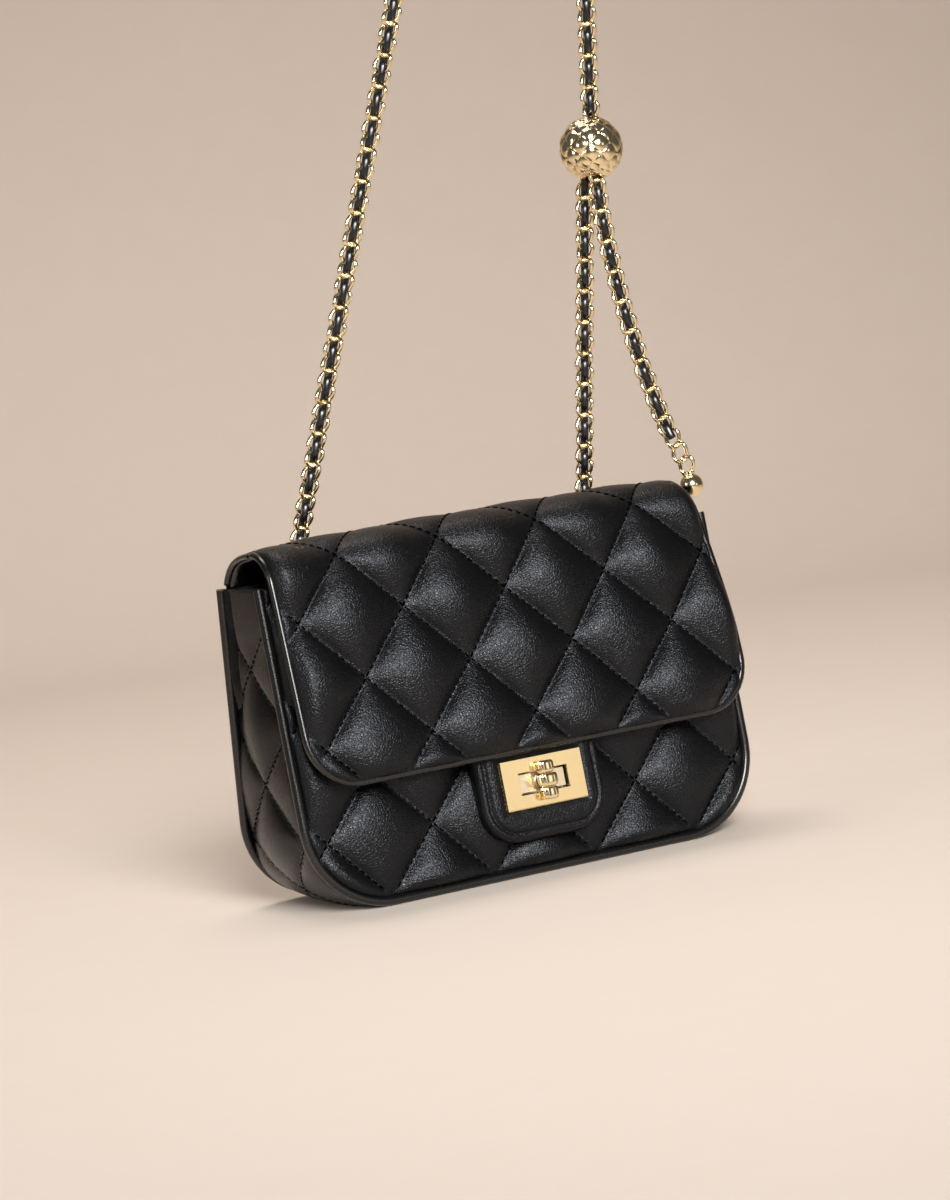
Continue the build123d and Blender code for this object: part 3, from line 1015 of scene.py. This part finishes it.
    def _line(self) -> None:
        """Makes the glazed leather lining inside the flap."""
        rows, columns = 90, 60
        s = np.linspace(0.6, self.length - 0.5, rows)
        wide = pouch_half(s, self.half - 0.8, 0.6, self.corner - 0.8)
        x = np.linspace(-1, 1, columns)[None, :] * wide[:, None]
        s = np.broadcast_to(s[:, None], x.shape)
        lining = thick_sheet(
            "flap_leather_lining",
            self.place(x, s, np.full_like(x, -1.95)),
            self.place(x, s, np.full_like(x, -3.0)),
            GLAZED,
        )
        self._bend(lining, Slot.SMOOTH, "flap_lining", "flap_root_lining")

    def _sew(self) -> None:
        """Adds the quilting thread of the flap."""

        def inside(x: Array, s: Array) -> Array:
            """Tells which places lie on the flap, clear of its edge.

            Args:
                x: Places across.
                s: Places along the hide.

            Returns:
                Whether each does.
            """
            edge = edge_distance(x, s, self.half, 0.0, self.length, self.corner)
            return edge > 3.0

        rows = self.quilting.stitches(inside, 0.0, self.length, self.half)
        thread = sew("flap_stitching", rows, self.place, self.surface, self.quilting.stitch_long)
        self._bend(thread, Slot.QUILTED)


@dataclass
class SideStrip:
    """The strip round the sides and the base, folded in at both ends of the mouth.

    Attributes:
        shell: The body's sizes.
        fold: How far the strip folds in at the mouth.
        fold_from: Height at which the fold begins.
        fold_at: Where the fold lies, as a share of the way from front to back.
        fold_half: Half its width, as the same share.
        thread: Thickness of its thread.
        puff: How far its quilting stands out.
    """

    shell: Shell
    fold: float = 6.0
    fold_from: float = 62.0
    fold_at: float = 0.86
    fold_half: float = 0.13
    thread: float = 0.5
    puff: float = 3.0

    def path(self, count: int) -> tuple[Array, Array]:
        """Places and outward directions along the strip, from one mouth end to the other.

        Args:
            count: Number of points.

        Returns:
            Points (x, z) and unit normals.
        """
        half, corner, top = self.shell.half, self.shell.corner, self.shell.top
        side, arc, base = top - corner, corner * math.pi / 2, 2 * (half - corner)
        total = 2 * side + 2 * arc + base
        points, normals = [], []
        for r in np.linspace(0, total, count):
            far = r > total / 2
            t = total - r if far else r
            if t < side:
                p, n = (-half, top - t), (-1.0, 0.0)
            elif t < side + arc:
                a = (t - side) / corner
                p = (-half + corner * (1 - math.cos(a)), corner * (1 - math.sin(a)))
                n = (-math.cos(a), -math.sin(a))
            else:
                p, n = (-half + corner + (t - side - arc), 0.0), (0.0, -1.0)
            points.append((-p[0], p[1]) if far else p)
            normals.append((-n[0], n[1]) if far else n)
        return np.array(points), np.array(normals)

    def skin(self, count: int, across: int, depth: float, quilted: bool) -> Array:
        """Grid of points of one side of the strip.

        Args:
            count: Points along the strip.
            across: Points from front to back.
            depth: Distance inside the outer surface.
            quilted: Whether the quilting shows.

        Returns:
            Points as rows x columns x 3, in metres.
        """
        points, normals = self.path(count)
        run = np.concatenate([[0], np.cumsum(np.linalg.norm(np.diff(points, axis=0), axis=1))])
        run -= run[-1] / 2
        t = np.linspace(0, 1, across)[None, :]
        z = points[:, 1][:, None]
        edge = self.shell.foot - z * math.tan(self.shell.tilt) - self.shell.pipe + 0.7
        y = edge * (2 * t - 1)
        rise = np.clip((z - self.fold_from) / (self.shell.top - self.fold_from), 0, 1)
        rise = rise * rise * (3 - 2 * rise)
        ridge = np.clip(1 - np.abs(t - self.fold_at) / self.fold_half, 0, 1)
        ridge = ridge * ridge * (3 - 2 * ridge)
        inward = self.fold * rise * ridge + depth
        rim = shoulder(np.minimum(t, 1 - t) * 2 * edge, 3.5)
        flat = z < 0.6
        belly = np.where(flat, 0.0, 2.0) * np.sin(math.pi * t) * np.clip(1 - rise * 1.4, 0, 1)
        inward = inward - belly
        if quilted:
            pattern = Quilting(middle=0.0, level=0.0, puff=self.puff)
            raised = pattern.height(run[:, None] + 0 * t, y + 0 * run[:, None])
            calm = np.where(flat, 0.0, np.clip(z / 20, 0, 1)) * (1 - 0.75 * rise)
            inward = inward + (1 - rim) * 0.8 * np.where(flat, 0.2, 1) + calm * (self.puff - raised) * 0.7
        x = points[:, 0][:, None] - normals[:, 0][:, None] * inward
        height = z - normals[:, 1][:, None] * inward
        x, y, height = np.broadcast_arrays(x, y, height)
        return np.stack([x, y, height], axis=-1) * MM

    def build(self) -> None:
        """Makes the strip, its thread and its lining."""
        count, across = 420, 72
        strip = thick_sheet(
            "quilted_side_strip",
            self.skin(count, across, 0.0, True),
            self.skin(count, across, 2.4, False),
            STRIP,
        )
        settle(strip, Body.BAG, Slot.QUILTED, "side_strip")
        lining = thick_sheet(
            "side_strip_lining",
            self.skin(200, 40, 3.5, False),
            self.skin(200, 40, 4.2, False),
            TWILL,
        )
        settle(lining, Body.BAG, Slot.LINING, "side_lining")
        self._sew()

    def _sew(self) -> None:
        """Adds the thread along the strip's quilting."""
        count, across = 420, 72
        grid = self.skin(count, across, -0.1, True)
        points, _ = self.path(count)
        run = np.concatenate([[0], np.cumsum(np.linalg.norm(np.diff(points, axis=0), axis=1))])
        total = run[-1]
        pattern = Quilting(middle=0.0, level=0.0)
        wide = self.shell.foot - 1

        def inside(x: Array, v: Array) -> Array:
            """Tells which places lie on the strip.

            Args:
                x: Places along.
                v: Places from front to back.

            Returns:
                Whether each does.
            """
            return (np.abs(x) < total / 2 - 6) & (np.abs(v) < wide)

        rows = pattern.stitches(inside, -wide, wide, total / 2)
        spots, headings, outs = [], [], []
        for x, v, dx, dv in rows:
            i = (x + total / 2) / total * (count - 1)
            k = int(i)
            z = points[k, 1]
            edge = self.shell.foot - z * math.tan(self.shell.tilt) - self.shell.pipe
            if abs(v) > edge - 2.5 or z < 0.7:
                continue
            j = (v / edge + 1) / 2 * (across - 1)
            m = int(j)
            here = grid[k, m]
            right = grid[k, min(m + 1, across - 1)] - here
            ahead = grid[k + 1, m] - here
            spot = here + ahead * (i - k) + right * (j - m)
            heading = ahead / np.linalg.norm(ahead) * dx + right / np.linalg.norm(right) * dv
            out = np.cross(ahead, right)
            spots.append(spot)
            headings.append(heading / np.linalg.norm(heading))
            outs.append(out / np.linalg.norm(out))
        rows = (np.array(column) for column in (spots, headings, outs))
        points, faces = thread_mesh(*rows, pattern.stitch_long * MM, self.thread * MM)
        settle(make_mesh("side_strip_stitching", points, faces, THREAD), Body.BAG, Slot.QUILTED)


@dataclass
class Knob:
    """The turning knob: three stacked cushions with upright flutes.

    Attributes:
        shell: The body's sizes.
        lock_at: Height of its middle, up the front panel.
        back: Its back, in front of the seam plane.
        halves: Half width, half height and depth of each cushion, from below.
        centres: Height of each cushion's middle over the knob's middle.
        flutes: Depth of the flutes.
    """

    shell: Shell
    lock_at: float = 34.0
    back: float = 12.7
    halves: tuple[Point, ...] = ((3.1, 2.35, 4.6), (3.6, 2.45, 5.1), (3.1, 2.35, 4.6))
    centres: tuple[float, ...] = (-4.85, 0.0, 4.85)
    flutes: float = 0.32

    def build(self) -> None:
        """Makes the three cushions as one piece."""
        rows, columns = 26, 72
        lat = np.linspace(-math.pi / 2, math.pi / 2, rows)[1:-1][:, None]
        lon = np.linspace(0, 2 * math.pi, columns, endpoint=False)[None, :]

        def square(wave: Array, power: float) -> Array:
            """Flattens a sine wave towards a square one.

            Args:
                wave: Values from -1 to 1.
                power: 1 for the sine itself, 0 for a square.

            Returns:
                The flattened values.
            """
            return np.sign(wave) * np.abs(wave) ** power

        parts = []
        for (half, tall, deep), centre in zip(self.halves, self.centres):
            ring = square(np.cos(lat), 0.35)
            flute = 1 - self.flutes / half * (0.5 + 0.5 * np.cos(8 * lon)) * ring
            x = half * ring * square(np.cos(lon), 0.6) * flute
            out = deep / 2 * (1 + ring * square(np.sin(lon), 0.6) * flute)
            v = centre + tall * square(np.sin(lat), 0.45) + 0 * lon
            points = self.shell.front(x, v + self.lock_at, self.back + out).reshape(-1, 3)
            faces = grid_faces(rows - 2, columns, closed=True)
            faces.append(tuple(range(columns - 1, -1, -1)))
            faces.append(tuple(range((rows - 3) * columns, (rows - 2) * columns)))
            parts.append((points, faces))
        knob = make_mesh("fluted_knob", *joined(parts), GILT)
        settle(knob, Body.KNOB, Slot.GILT, "knob_lever")


@dataclass
class LockTab:
    """The padded tab that carries the lock plate on the flap.

    Attributes:
        shell: The body's sizes.
        half: Half its width.
        low: Its lower edge, up the front panel.
        high: Its upper edge, under the flap.
        back: Its back, in front of the seam plane.
        front: Its front, under the lock plate.
        corner: Radius of its lower corners.
        plate_half: Half the width and height of the lock plate.
        slot_half: Half the width and height of the slot.
        lock_at: Height of the slot's middle, up the front panel.
    """

    shell: Shell
    half: float = 25.5
    low: float = 13.0
    high: float = 62.0
    back: float = 5.0
    front: float = 10.3
    corner: float = 14.0
    plate_half: tuple[float, float] = (16.75, 9.25)
    slot_half: tuple[float, float] = (10.25, 4.2)
    lock_at: float = 34.0

    def build(self) -> None:
        """Makes the tab with its slot, a padded front and a sunken seam."""
        rows, columns = 98, 102
        v = np.linspace(self.low, self.high, rows)
        wide = pouch_half(v, self.half, self.low, self.corner) + 0.012 * (v - self.low)
        x = np.linspace(-1, 1, columns)[None, :] * wide[:, None]
        v = np.broadcast_to(v[:, None], x.shape)
        edge = edge_distance(x, v, self.half + 0.3, self.low, 500.0, self.corner)
        around = np.maximum(np.abs(x) - self.plate_half[0], np.abs(v - self.lock_at) - self.plate_half[1])
        pad = shoulder(edge, 3.2) * (self.front - self.back - 2.0) + 2.0
        seam = -0.9 * np.exp(-(((edge - 3.4) / 0.8) ** 2))
        swell = 0.9 * np.clip(around / 2.0, 0, 1) * shoulder(np.maximum(edge - 3.4, 0), 4.0)
        outer = self.shell.front(x, v, self.back + pad + seam + swell)
        inner = self.shell.front(x, v, np.full_like(x, self.back))
        tab = thick_sheet("lock_tab_padded", outer, inner, PEBBLED)
        self._cut_slot(tab)
        settle(tab, Body.FLAP, Slot.PEBBLED, "lock_tab_back", "lock_tab_core", "lock_tab_front")

    def _cut_slot(self, tab: bpy.types.Object) -> None:
        """Cuts the slot through the tab.

        Args:
            tab: The tab.
        """
        x = np.array([-1, 1, 1, -1, -1, 1, 1, -1]) * self.slot_half[0]
        v = self.lock_at + np.array([-1, -1, 1, 1, -1, -1, 1, 1]) * self.slot_half[1]
        out = np.array([0, 0, 0, 0, 20, 20, 20, 20.0])
        faces = [(0, 1, 2, 3), (7, 6, 5, 4), (0, 4, 5, 1), (1, 5, 6, 2), (2, 6, 7, 3), (3, 7, 4, 0)]
        cutter = make_mesh("slot_cutter", self.shell.front(x, v, out), faces, PEBBLED)
        cut = tab.modifiers.new("slot", "BOOLEAN")
        cut.object = cutter
        cut.solver = "EXACT"
        graph = bpy.context.evaluated_depsgraph_get()
        mesh = bpy.data.meshes.new_from_object(tab.evaluated_get(graph))
        tab.modifiers.clear()
        tab.data = mesh
        bpy.data.objects.remove(cutter)


# ---- the strap ---------------------------------------------------------------


@dataclass
class Strap:
    """The laced chain strap: two ends, the sliding ball and the tail bead.

    Attributes:
        pitch: Distance from link to link.
        wide: Outside width of a link.
        wire: Thickness of its wire.
        lace_wide: Width of the lace.
        lace_thick: Thickness of the lace.
        lace_end: How far the lace of the fixed end reaches into the ball.
        turned: How far each link is twisted, in degrees.
        slant: How far each link leans across the strap, in degrees.
        towards: The side the strap's face turns to.
        through: Route from the left ring over the top to the bead.
        fixed: Route from the right ring to the ball.
        through_ball: Number of the through route's point where it enters the ball.
        ball_radius: Radius of the sliding ball.
        ball_hole: Radius of its holes.
        ball_wall: Thickness of its wall.
        ball_diamonds: Number of diamonds round it.
        ball_relief: Depth of the grooves between them.
        ball_stud: Height of the stud at each crossing.
        ball_centre: Its middle.
        bead_centre: Middle of the tail's bead.
    """

    pitch: float = 6.0
    wide: float = 6.9
    wire: float = 1.7
    lace_wide: float = 3.1
    lace_thick: float = 1.4
    lace_end: float = 3.0
    turned: float = 98.0
    slant: float = 24.0
    towards: Point = (-0.42, -0.9, 0.05)
    through: tuple[Point, ...] = (
        (-79.0, 3.0, 115.5), (-71.5, 4.5, 114.0), (-63.5, 9.0, 111.8), (-62.0, 25.6, 113.0),
        (-57.5, 26.6, 125.5), (-45.3, 23.3, 163.7), (34.2, 0.7, 412.5), (46.2, -2.6, 450.0),
        (63.7, -3.4, 460.7), (83.9, -3.2, 457.0), (96.4, -1.8, 440.8), (93.9, 1.3, 403.0),
        (87.9, 9.2, 310.0), (85.4, 12.4, 272.0), (82.6, 9.0, 246.0), (84.5, 10.2, 225.6),
        (88.7, 11.0, 196.4), (97.1, 10.2, 158.3), (101.2, 3.1, 140.6), (102.2, 2.0, 135.0),
    )
    fixed: tuple[Point, ...] = (
        (79.0, 3.0, 115.5), (71.5, 4.5, 114.0), (63.5, 9.0, 111.8), (62.0, 25.6, 113.0),
        (67.0, 26.6, 125.5), (71.6, 24.0, 162.5), (82.6, 18.0, 252.2),
    )
    through_ball: int = 13
    ball_radius: float = 12.5
    ball_hole: float = 4.9
    ball_wall: float = 1.6
    ball_diamonds: int = 9
    ball_relief: float = 0.7
    ball_stud: float = 0.5
    ball_centre: Point = (84.8, 13.4, 264.4)
    bead_centre: Point = (102.2, 2.0, 130.4)

    def route(self, points: Sequence[Point]) -> Array:
        """Reads evenly spaced points of the smooth line along a route.

        Args:
            points: The route's control points, in millimetres.

        Returns:
            Points in metres, half a millimetre apart.
        """
        curve = bpy.data.curves.new("route", "CURVE")
        curve.dimensions = "3D"
        spline = curve.splines.new("NURBS")
        spline.points.add(len(points) - 1)
        for knot, point in zip(spline.points, points):
            knot.co = (*(c * MM for c in point), 1.0)
        spline.order_u = 3
        spline.use_endpoint_u = True
        spline.resolution_u = 24
        holder = bpy.data.objects.new("route", curve)
        bpy.context.collection.objects.link(holder)
        graph = bpy.context.evaluated_depsgraph_get()
        mesh = bpy.data.meshes.new_from_object(holder.evaluated_get(graph))
        dense = np.array([v.co[:] for v in mesh.vertices])
        bpy.data.objects.remove(holder)
        bpy.data.meshes.remove(mesh)
        run = np.concatenate([[0], np.cumsum(np.linalg.norm(np.diff(dense, axis=0), axis=1))])
        even = np.arange(0, run[-1], 0.5 * MM)
        return np.stack([np.interp(even, run, dense[:, k]) for k in range(3)], axis=1)

    def link(self) -> tuple[Array, Faces]:
        """One twisted oval link about the origin, long way along the first axis.

        Returns:
            Points (along, side, front) in metres, and faces.
        """
        long = self.pitch + 2 * self.wire + 0.1
        straight = (long - self.wide) / 2
        bend = (self.wide - self.wire) / 2
        ring = []
        for t in np.linspace(0, 2 * math.pi, 22, endpoint=False):
            along = bend * math.cos(t) + math.copysign(straight, math.cos(t)) * min(1, abs(math.cos(t)) * 3)
            ring.append((along, bend * math.sin(t), 0.0))
        path = np.array(ring)
        turn = np.radians(self.turned) * path[:, 0] / long
        spun = np.stack(
            [path[:, 0], path[:, 1] * np.cos(turn), path[:, 1] * np.sin(turn) * 1.0], axis=1
        )
        return tube_parts(spun * MM, self.wire / 2 * MM, 8, True, 1.0, (0.02, 0.05, 1.0))

    def chain(self, name: str, path: Array, plain_end: float) -> tuple[bpy.types.Object, bpy.types.Object]:
        """The links along a path and the lace woven through them.

        Args:
            name: Stem of the names of the pieces.
            path: Points in metres.
            plain_end: Length at the path's end without lace, in metres.

        Returns:
            The links and the lace.
        """
        tangent, side, front = frames_along(path, np.array(self.towards))
        gap = 0.5 * MM
        count = int((len(path) - 1) * gap / (self.pitch * MM))
        link_points, link_faces = self.link()
        noise = np.random.default_rng(7)
        parts = []
        spare = (len(path) - 1) * gap - count * self.pitch * MM
        for k in range(count):
            i = int((spare + (k + 0.5) * self.pitch * MM) / gap)
            lean = math.radians(10 * (-1) ** k + noise.uniform(-10, 10))
            c, s = math.cos(lean), math.sin(lean)
            across, depth = c * side[i] + s * front[i], -s * side[i] + c * front[i]
            tip = math.radians(self.slant)
            along = math.cos(tip) * tangent[i] + math.sin(tip) * across
            basis = np.stack([along, math.cos(tip) * across - math.sin(tip) * tangent[i], depth])
            parts.append((link_points @ basis + path[i], link_faces))
        links = make_mesh(name + "_chain", *joined(parts), GILT)
        laced = int(len(path) - plain_end / gap)
        s = np.arange(laced) * gap
        beat = np.mod((s - spare) / (2 * self.pitch * MM), 1.0) - 0.5
        depth = (1.25 - 3.4 * np.exp(-((beat / 0.17) ** 2))) * MM
        woven = path[:laced] + front[:laced] * depth[:, None]
        if plain_end == 0:
            woven = np.vstack([woven, woven[-1] + tangent[-1] * self.lace_end * MM])
        smooth = woven.copy()
        for _ in range(3):
            smooth[1:-1] = (smooth[:-2] + smooth[1:-1] + smooth[2:]) / 3
        lace = tube(
            name + "_lace", smooth[::2], self.lace_wide / 2 * MM, LACE, 10,
            flat=self.lace_thick / self.lace_wide, facing=self.towards,
        )
        return links, lace

    def build(self) -> None:
        """Makes both ends of the strap, the ball and the bead."""
        ball = self.ball()
        bead = self.bead()
        path = self.route(self.through)
        links, lace = self.chain("through", path, 15 * MM)
        settle(links, Body.BAG, Slot.CHAIN, "strap_through")
        settle(lace, Body.BAG, Slot.CHAIN)
        self.length(path)
        path = self.route(self.fixed)
        links, lace = self.chain("fixed", path, 0.0)
        settle(links, Body.BAG, Slot.CHAIN, "strap_fixed")
        settle(lace, Body.BAG, Slot.CHAIN)
        self.length(path)

    @staticmethod
    def length(path: Array) -> float:
        """Length of a path.

        Args:
            path: Points in metres.

        Returns:
            Metres.
        """
        return float(np.linalg.norm(np.diff(path, axis=0), axis=1).sum())

    def ball(self) -> bpy.types.Object:
        """The sliding ball: a hollow sphere with a diamond relief, studs and two holes.

        Returns:
            The ball.
        """
        radius, hole, wall = self.ball_radius, self.ball_hole, self.ball_wall
        axis = np.array(self.through[self.through_ball]) - np.array(self.through[self.through_ball + 1])
        axis /= np.linalg.norm(axis)
        side = np.cross(axis, (0.0, -1.0, 0.0))
        side /= np.linalg.norm(side)
        front = np.cross(side, axis)
        cap = math.asin(hole / radius)
        rows, columns, repeat = 130, 300, self.ball_diamonds
        lat = np.linspace(cap, math.pi - cap, rows)[:, None]
        lon = np.linspace(0, 2 * math.pi, columns, endpoint=False)[None, :]
        level = np.log(np.tan(lat / 2)) / (2 * math.pi) * repeat
        turns = lon / (2 * math.pi) * repeat
        a, b = turns + level, turns - level
        near = (np.abs(np.sin(math.pi * a)), np.abs(np.sin(math.pi * b)))
        relief = self.ball_relief * ((near[0] * near[1]) ** 0.55 - 1)
        relief = relief + self.ball_stud * np.exp(-((near[0] ** 2 + near[1] ** 2) / 0.06))
        collar = np.exp(-(((np.minimum(lat, math.pi - lat) - cap - 0.08) / 0.09) ** 2))
        r = radius - 0.05 + np.where(collar > 0.25, 0.0, relief)
        outer = self._globe(r, lat, lon)
        inner = self._globe(np.full_like(r, radius - wall), lat, lon)
        loops = np.concatenate([outer, inner[::-1], outer[:1]])[:-1]
        points = loops.reshape(-1, 3)
        faces = grid_faces(2 * rows, columns, closed=True)
        last = (2 * rows - 1) * columns
        faces += [(last + j, last + (j + 1) % columns, (j + 1) % columns, j) for j in range(columns)]
        basis = np.stack([side, front, axis])
        centre = np.array(self.ball_centre)
        piece = make_mesh("sliding_ball", (points @ basis + centre) * MM, faces, GILT)
        return settle(piece, Body.BAG, Slot.GILT, "slider_ball")

    @staticmethod
    def _globe(radius: Array, lat: Array, lon: Array) -> Array:
        """Points of a sphere-like surface.

        Args:
            radius: Distance from the middle at each point.
            lat: Angles from the pole.
            lon: Angles round the pole.

        Returns:
            Points as rows x columns x 3.
        """
        x = radius * np.sin(lat) * np.cos(lon)
        y = radius * np.sin(lat) * np.sin(lon)
        z = radius * np.cos(lat) + 0 * lon
        return np.stack([x, y, z], axis=-1)

    def bead(self) -> bpy.types.Object:
        """The bead on the tail: turned, with a small collar under the last link.

        Returns:
            The bead.
        """
        profile = [(0.6, -4.45), (1.4, -4.3), (1.5, -4.5)]
        turn = np.linspace(-1.2, 1.2, 26)
        profile += [(4.6 * math.cos(t), 4.6 * math.sin(t)) for t in turn]
        profile += [(1.6, 4.5), (1.9, 4.7), (1.9, 5.3), (1.5, 5.6), (0.6, 5.6)]
        columns = 40
        lon = np.linspace(0, 2 * math.pi, columns, endpoint=False)
        ring = [np.stack([r * np.cos(lon), r * np.sin(lon), np.full(columns, z)], axis=1) for r, z in profile]
        points = np.concatenate(ring) + np.array(self.bead_centre)
        faces = grid_faces(len(profile), columns, closed=True)
        faces.append(tuple(range(columns - 1, -1, -1)))
        faces.append(tuple(range((len(profile) - 1) * columns, len(profile) * columns)))
        piece = make_mesh("tail_bead_turned", points * MM, faces, GILT)
        return settle(piece, Body.BAG, Slot.GILT, "tail_bead")


# ---- CAD pieces that stay ----------------------------------------------------


@dataclass(frozen=True)
class KeptPieces:
    """CAD nodes that keep their shape, with the finish of each.

    Attributes:
        finishes: Node name to finish.
        eased: Nodes whose sharp edges are rounded, with the radius in millimetres.
    """

    finishes: dict[str, Finish] = field(
        default_factory=lambda: {
            "front_piping": GLAZED, "back_piping": GLAZED, "front_board": BOARD, "back_board": BOARD,
            "base_board": BOARD, "front_lining": TWILL, "back_lining": TWILL, "slip_pocket": TWILL,
            "front_facing": GLAZED, "back_facing": GLAZED, "lock_frame": GILT_FLAT, "lock_frame_back": NICKEL,
            "lock_base": GILT_PALE, "lock_washer": NICKEL, "knob_spring": NICKEL,
            "knob_post": GILT, "knob_clip": NICKEL, "eyelets": GILT, "eyelet_washers": GILT,
            "anchor_tabs": GLAZED, "anchor_rivets": GILT, "anchor_rings": GILT, "slider_grip": SILICONE,
        }
    )
    eased: dict[str, float] = field(default_factory=lambda: {"lock_frame": 0.25, "lock_base": 0.2})

    def dress(self) -> None:
        """Gives each node its finish and rounds the sharp edges."""
        for name, finish in self.finishes.items():
            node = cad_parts[name]
            node.data.materials.clear()
            node.data.materials.append(finish.build())
            LOG.info("%s keeps its shape, in %s", name, finish.name)
        for name, radius in self.eased.items():
            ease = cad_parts[name].modifiers.new("eased edges", "BEVEL")
            ease.width = radius * MM
            ease.segments = 3
            ease.limit_method = "ANGLE"
            ease.harden_normals = True


# ---- studio ------------------------------------------------------------------


@dataclass(frozen=True)
class Studio:
    """Camera, floor and lights.

    Attributes:
        stand: Camera position, in millimetres.
        yaw: Turn about the upright axis, in degrees.
        pitch: Downward look, in degrees.
        roll: Turn about the line of sight, in degrees.
        lens: Focal length in millimetres, on a 36 mm sensor along the picture's long side.
    """

    stand: Point = (-658.6, -1336.9, 224.9)
    yaw: float = 26.28
    pitch: float = 4.72
    roll: float = 8.06
    lens: float = 119.1

    def camera(self) -> None:
        """Makes the camera at the viewing angle."""
        data = bpy.data.cameras.new("camera")
        data.sensor_width = 36.0
        data.lens = self.lens
        data.clip_start, data.clip_end = 0.1, 20.0
        made = bpy.data.objects.new("camera", data)
        a, e, r = (math.radians(v) for v in (self.yaw, self.pitch, self.roll))
        ahead = Vector((math.sin(a) * math.cos(e), math.cos(a) * math.cos(e), -math.sin(e)))
        level = Vector((math.cos(a), -math.sin(a), 0.0))
        upright = level.cross(ahead)
        right = math.cos(r) * level - math.sin(r) * upright
        up = math.sin(r) * level + math.cos(r) * upright
        turn = Matrix((right, up, -ahead)).transposed()
        made.matrix_world = Matrix.Translation(Vector(self.stand) * MM) @ turn.to_4x4()
        bpy.context.collection.objects.link(made)
        bpy.context.scene.camera = made

    def floor(self) -> None:
        """Makes the plain pale floor."""
        bend, start, top = 0.7, 1.0, 3.0
        turns = np.linspace(0, math.pi / 2, 24)
        profile = [(-3.0, 0.0), (start, 0.0)]
        profile += [(start + bend * math.sin(t), bend * (1 - math.cos(t))) for t in turns[1:]]
        profile.append((start + bend, top))
        ahead = np.array([math.sin(math.radians(self.yaw)), math.cos(math.radians(self.yaw)), 0.0])
        across = np.array([ahead[1], -ahead[0], 0.0])
        rows = [[w * across + d * ahead + np.array([0, 0, h]) for w in (-4.0, 4.0)] for d, h in profile]
        plain = Finish("matt_warm_paper", "dccfc3", "ded2c7", 0.9)
        ground = make_mesh("floor", np.array(rows).reshape(-1, 3), grid_faces(len(rows), 2), plain)

    def light(
        self, name: str, place: Point, aim: Point, size: float, power: float, tint: str, spread: float = 180.0
    ) -> None:
        """Adds one soft area light.

        Args:
            name: Its name.
            place: Its position, in metres.
            aim: What it points at.
            size: Its side, in metres.
            power: Its power, in watts.
            tint: Its colour, sRGB hex.
            spread: Full angle of its beam, in degrees.
        """
        data = bpy.data.lights.new(name, "AREA")
        data.spread = math.radians(spread)
        data.shape = "SQUARE"
        data.size = size
        data.energy = power
        data.color = linear(tint)[:3]
        made = bpy.data.objects.new(name, data)
        made.location = place
        made.rotation_mode = "QUATERNION"
        made.rotation_quaternion = (Vector(aim) - Vector(place)).to_track_quat("-Z", "Y")
        bpy.context.collection.objects.link(made)

    def build(self) -> None:
        """Sets up the floor, the surroundings and the lights."""
        self.floor()
        world = bpy.data.worlds.new("studio")
        bpy.context.scene.world = world
        world.use_nodes = True
        back = world.node_tree.nodes["Background"]
        back.inputs["Color"].default_value = linear("dde0e4")
        back.inputs["Strength"].default_value = 0.11
        self.light("key", (-0.4, -1.65, 0.85), (0, 0, 0.08), 0.8, 5.2, "fffefc", spread=50)
        self.light("card", (0.88, -1.81, 0.3), (0, 0, 0.034), 0.5, 1.1, "fff6ea")
        self.light("side", (-1.5, -0.2, 0.6), (0, 0, 0.08), 0.4, 4, "fff8f0")
        self.light("top", (-0.1, 0.35, 1.5), (0, 0, 0.1), 0.5, 5, "fff8f0")
        self.light("wall", (0.2, 0.5, 2.3), (0.9, 1.7, 0.7), 1.2, 18, "fff0e4")
        bpy.context.scene.view_settings.view_transform = "Standard"


def main() -> None:
    """Builds the pieces in order, camera and strap first."""
    logging.basicConfig(level=logging.INFO, format="%(message)s")
    shell = Shell.of_frame()
    studio = Studio()
    studio.camera()
    Strap().build()
    KeptPieces().dress()
    under_lock = (17.5, 24.0, 44.0, 3.0)
    under_tab = (25.5, 13.0, 64.0, 4.7)
    pattern = Quilting(level=26.7)
    calmer = Quilting(level=26.7, puff=3.6)
    QuiltedPanel(
        "front_panel_quilted", "front_panel", pattern, shell.front, shell, pressed=(under_lock, under_tab)
    ).build()
    QuiltedPanel("back_panel_quilted", "back_panel", calmer, shell.back, shell).build()
    SideStrip(shell).build()
    Flap(shell).build()
    LockTab(shell).build()
    Knob(shell).build()
    studio.build()


if __name__ == "__main__":
    main()
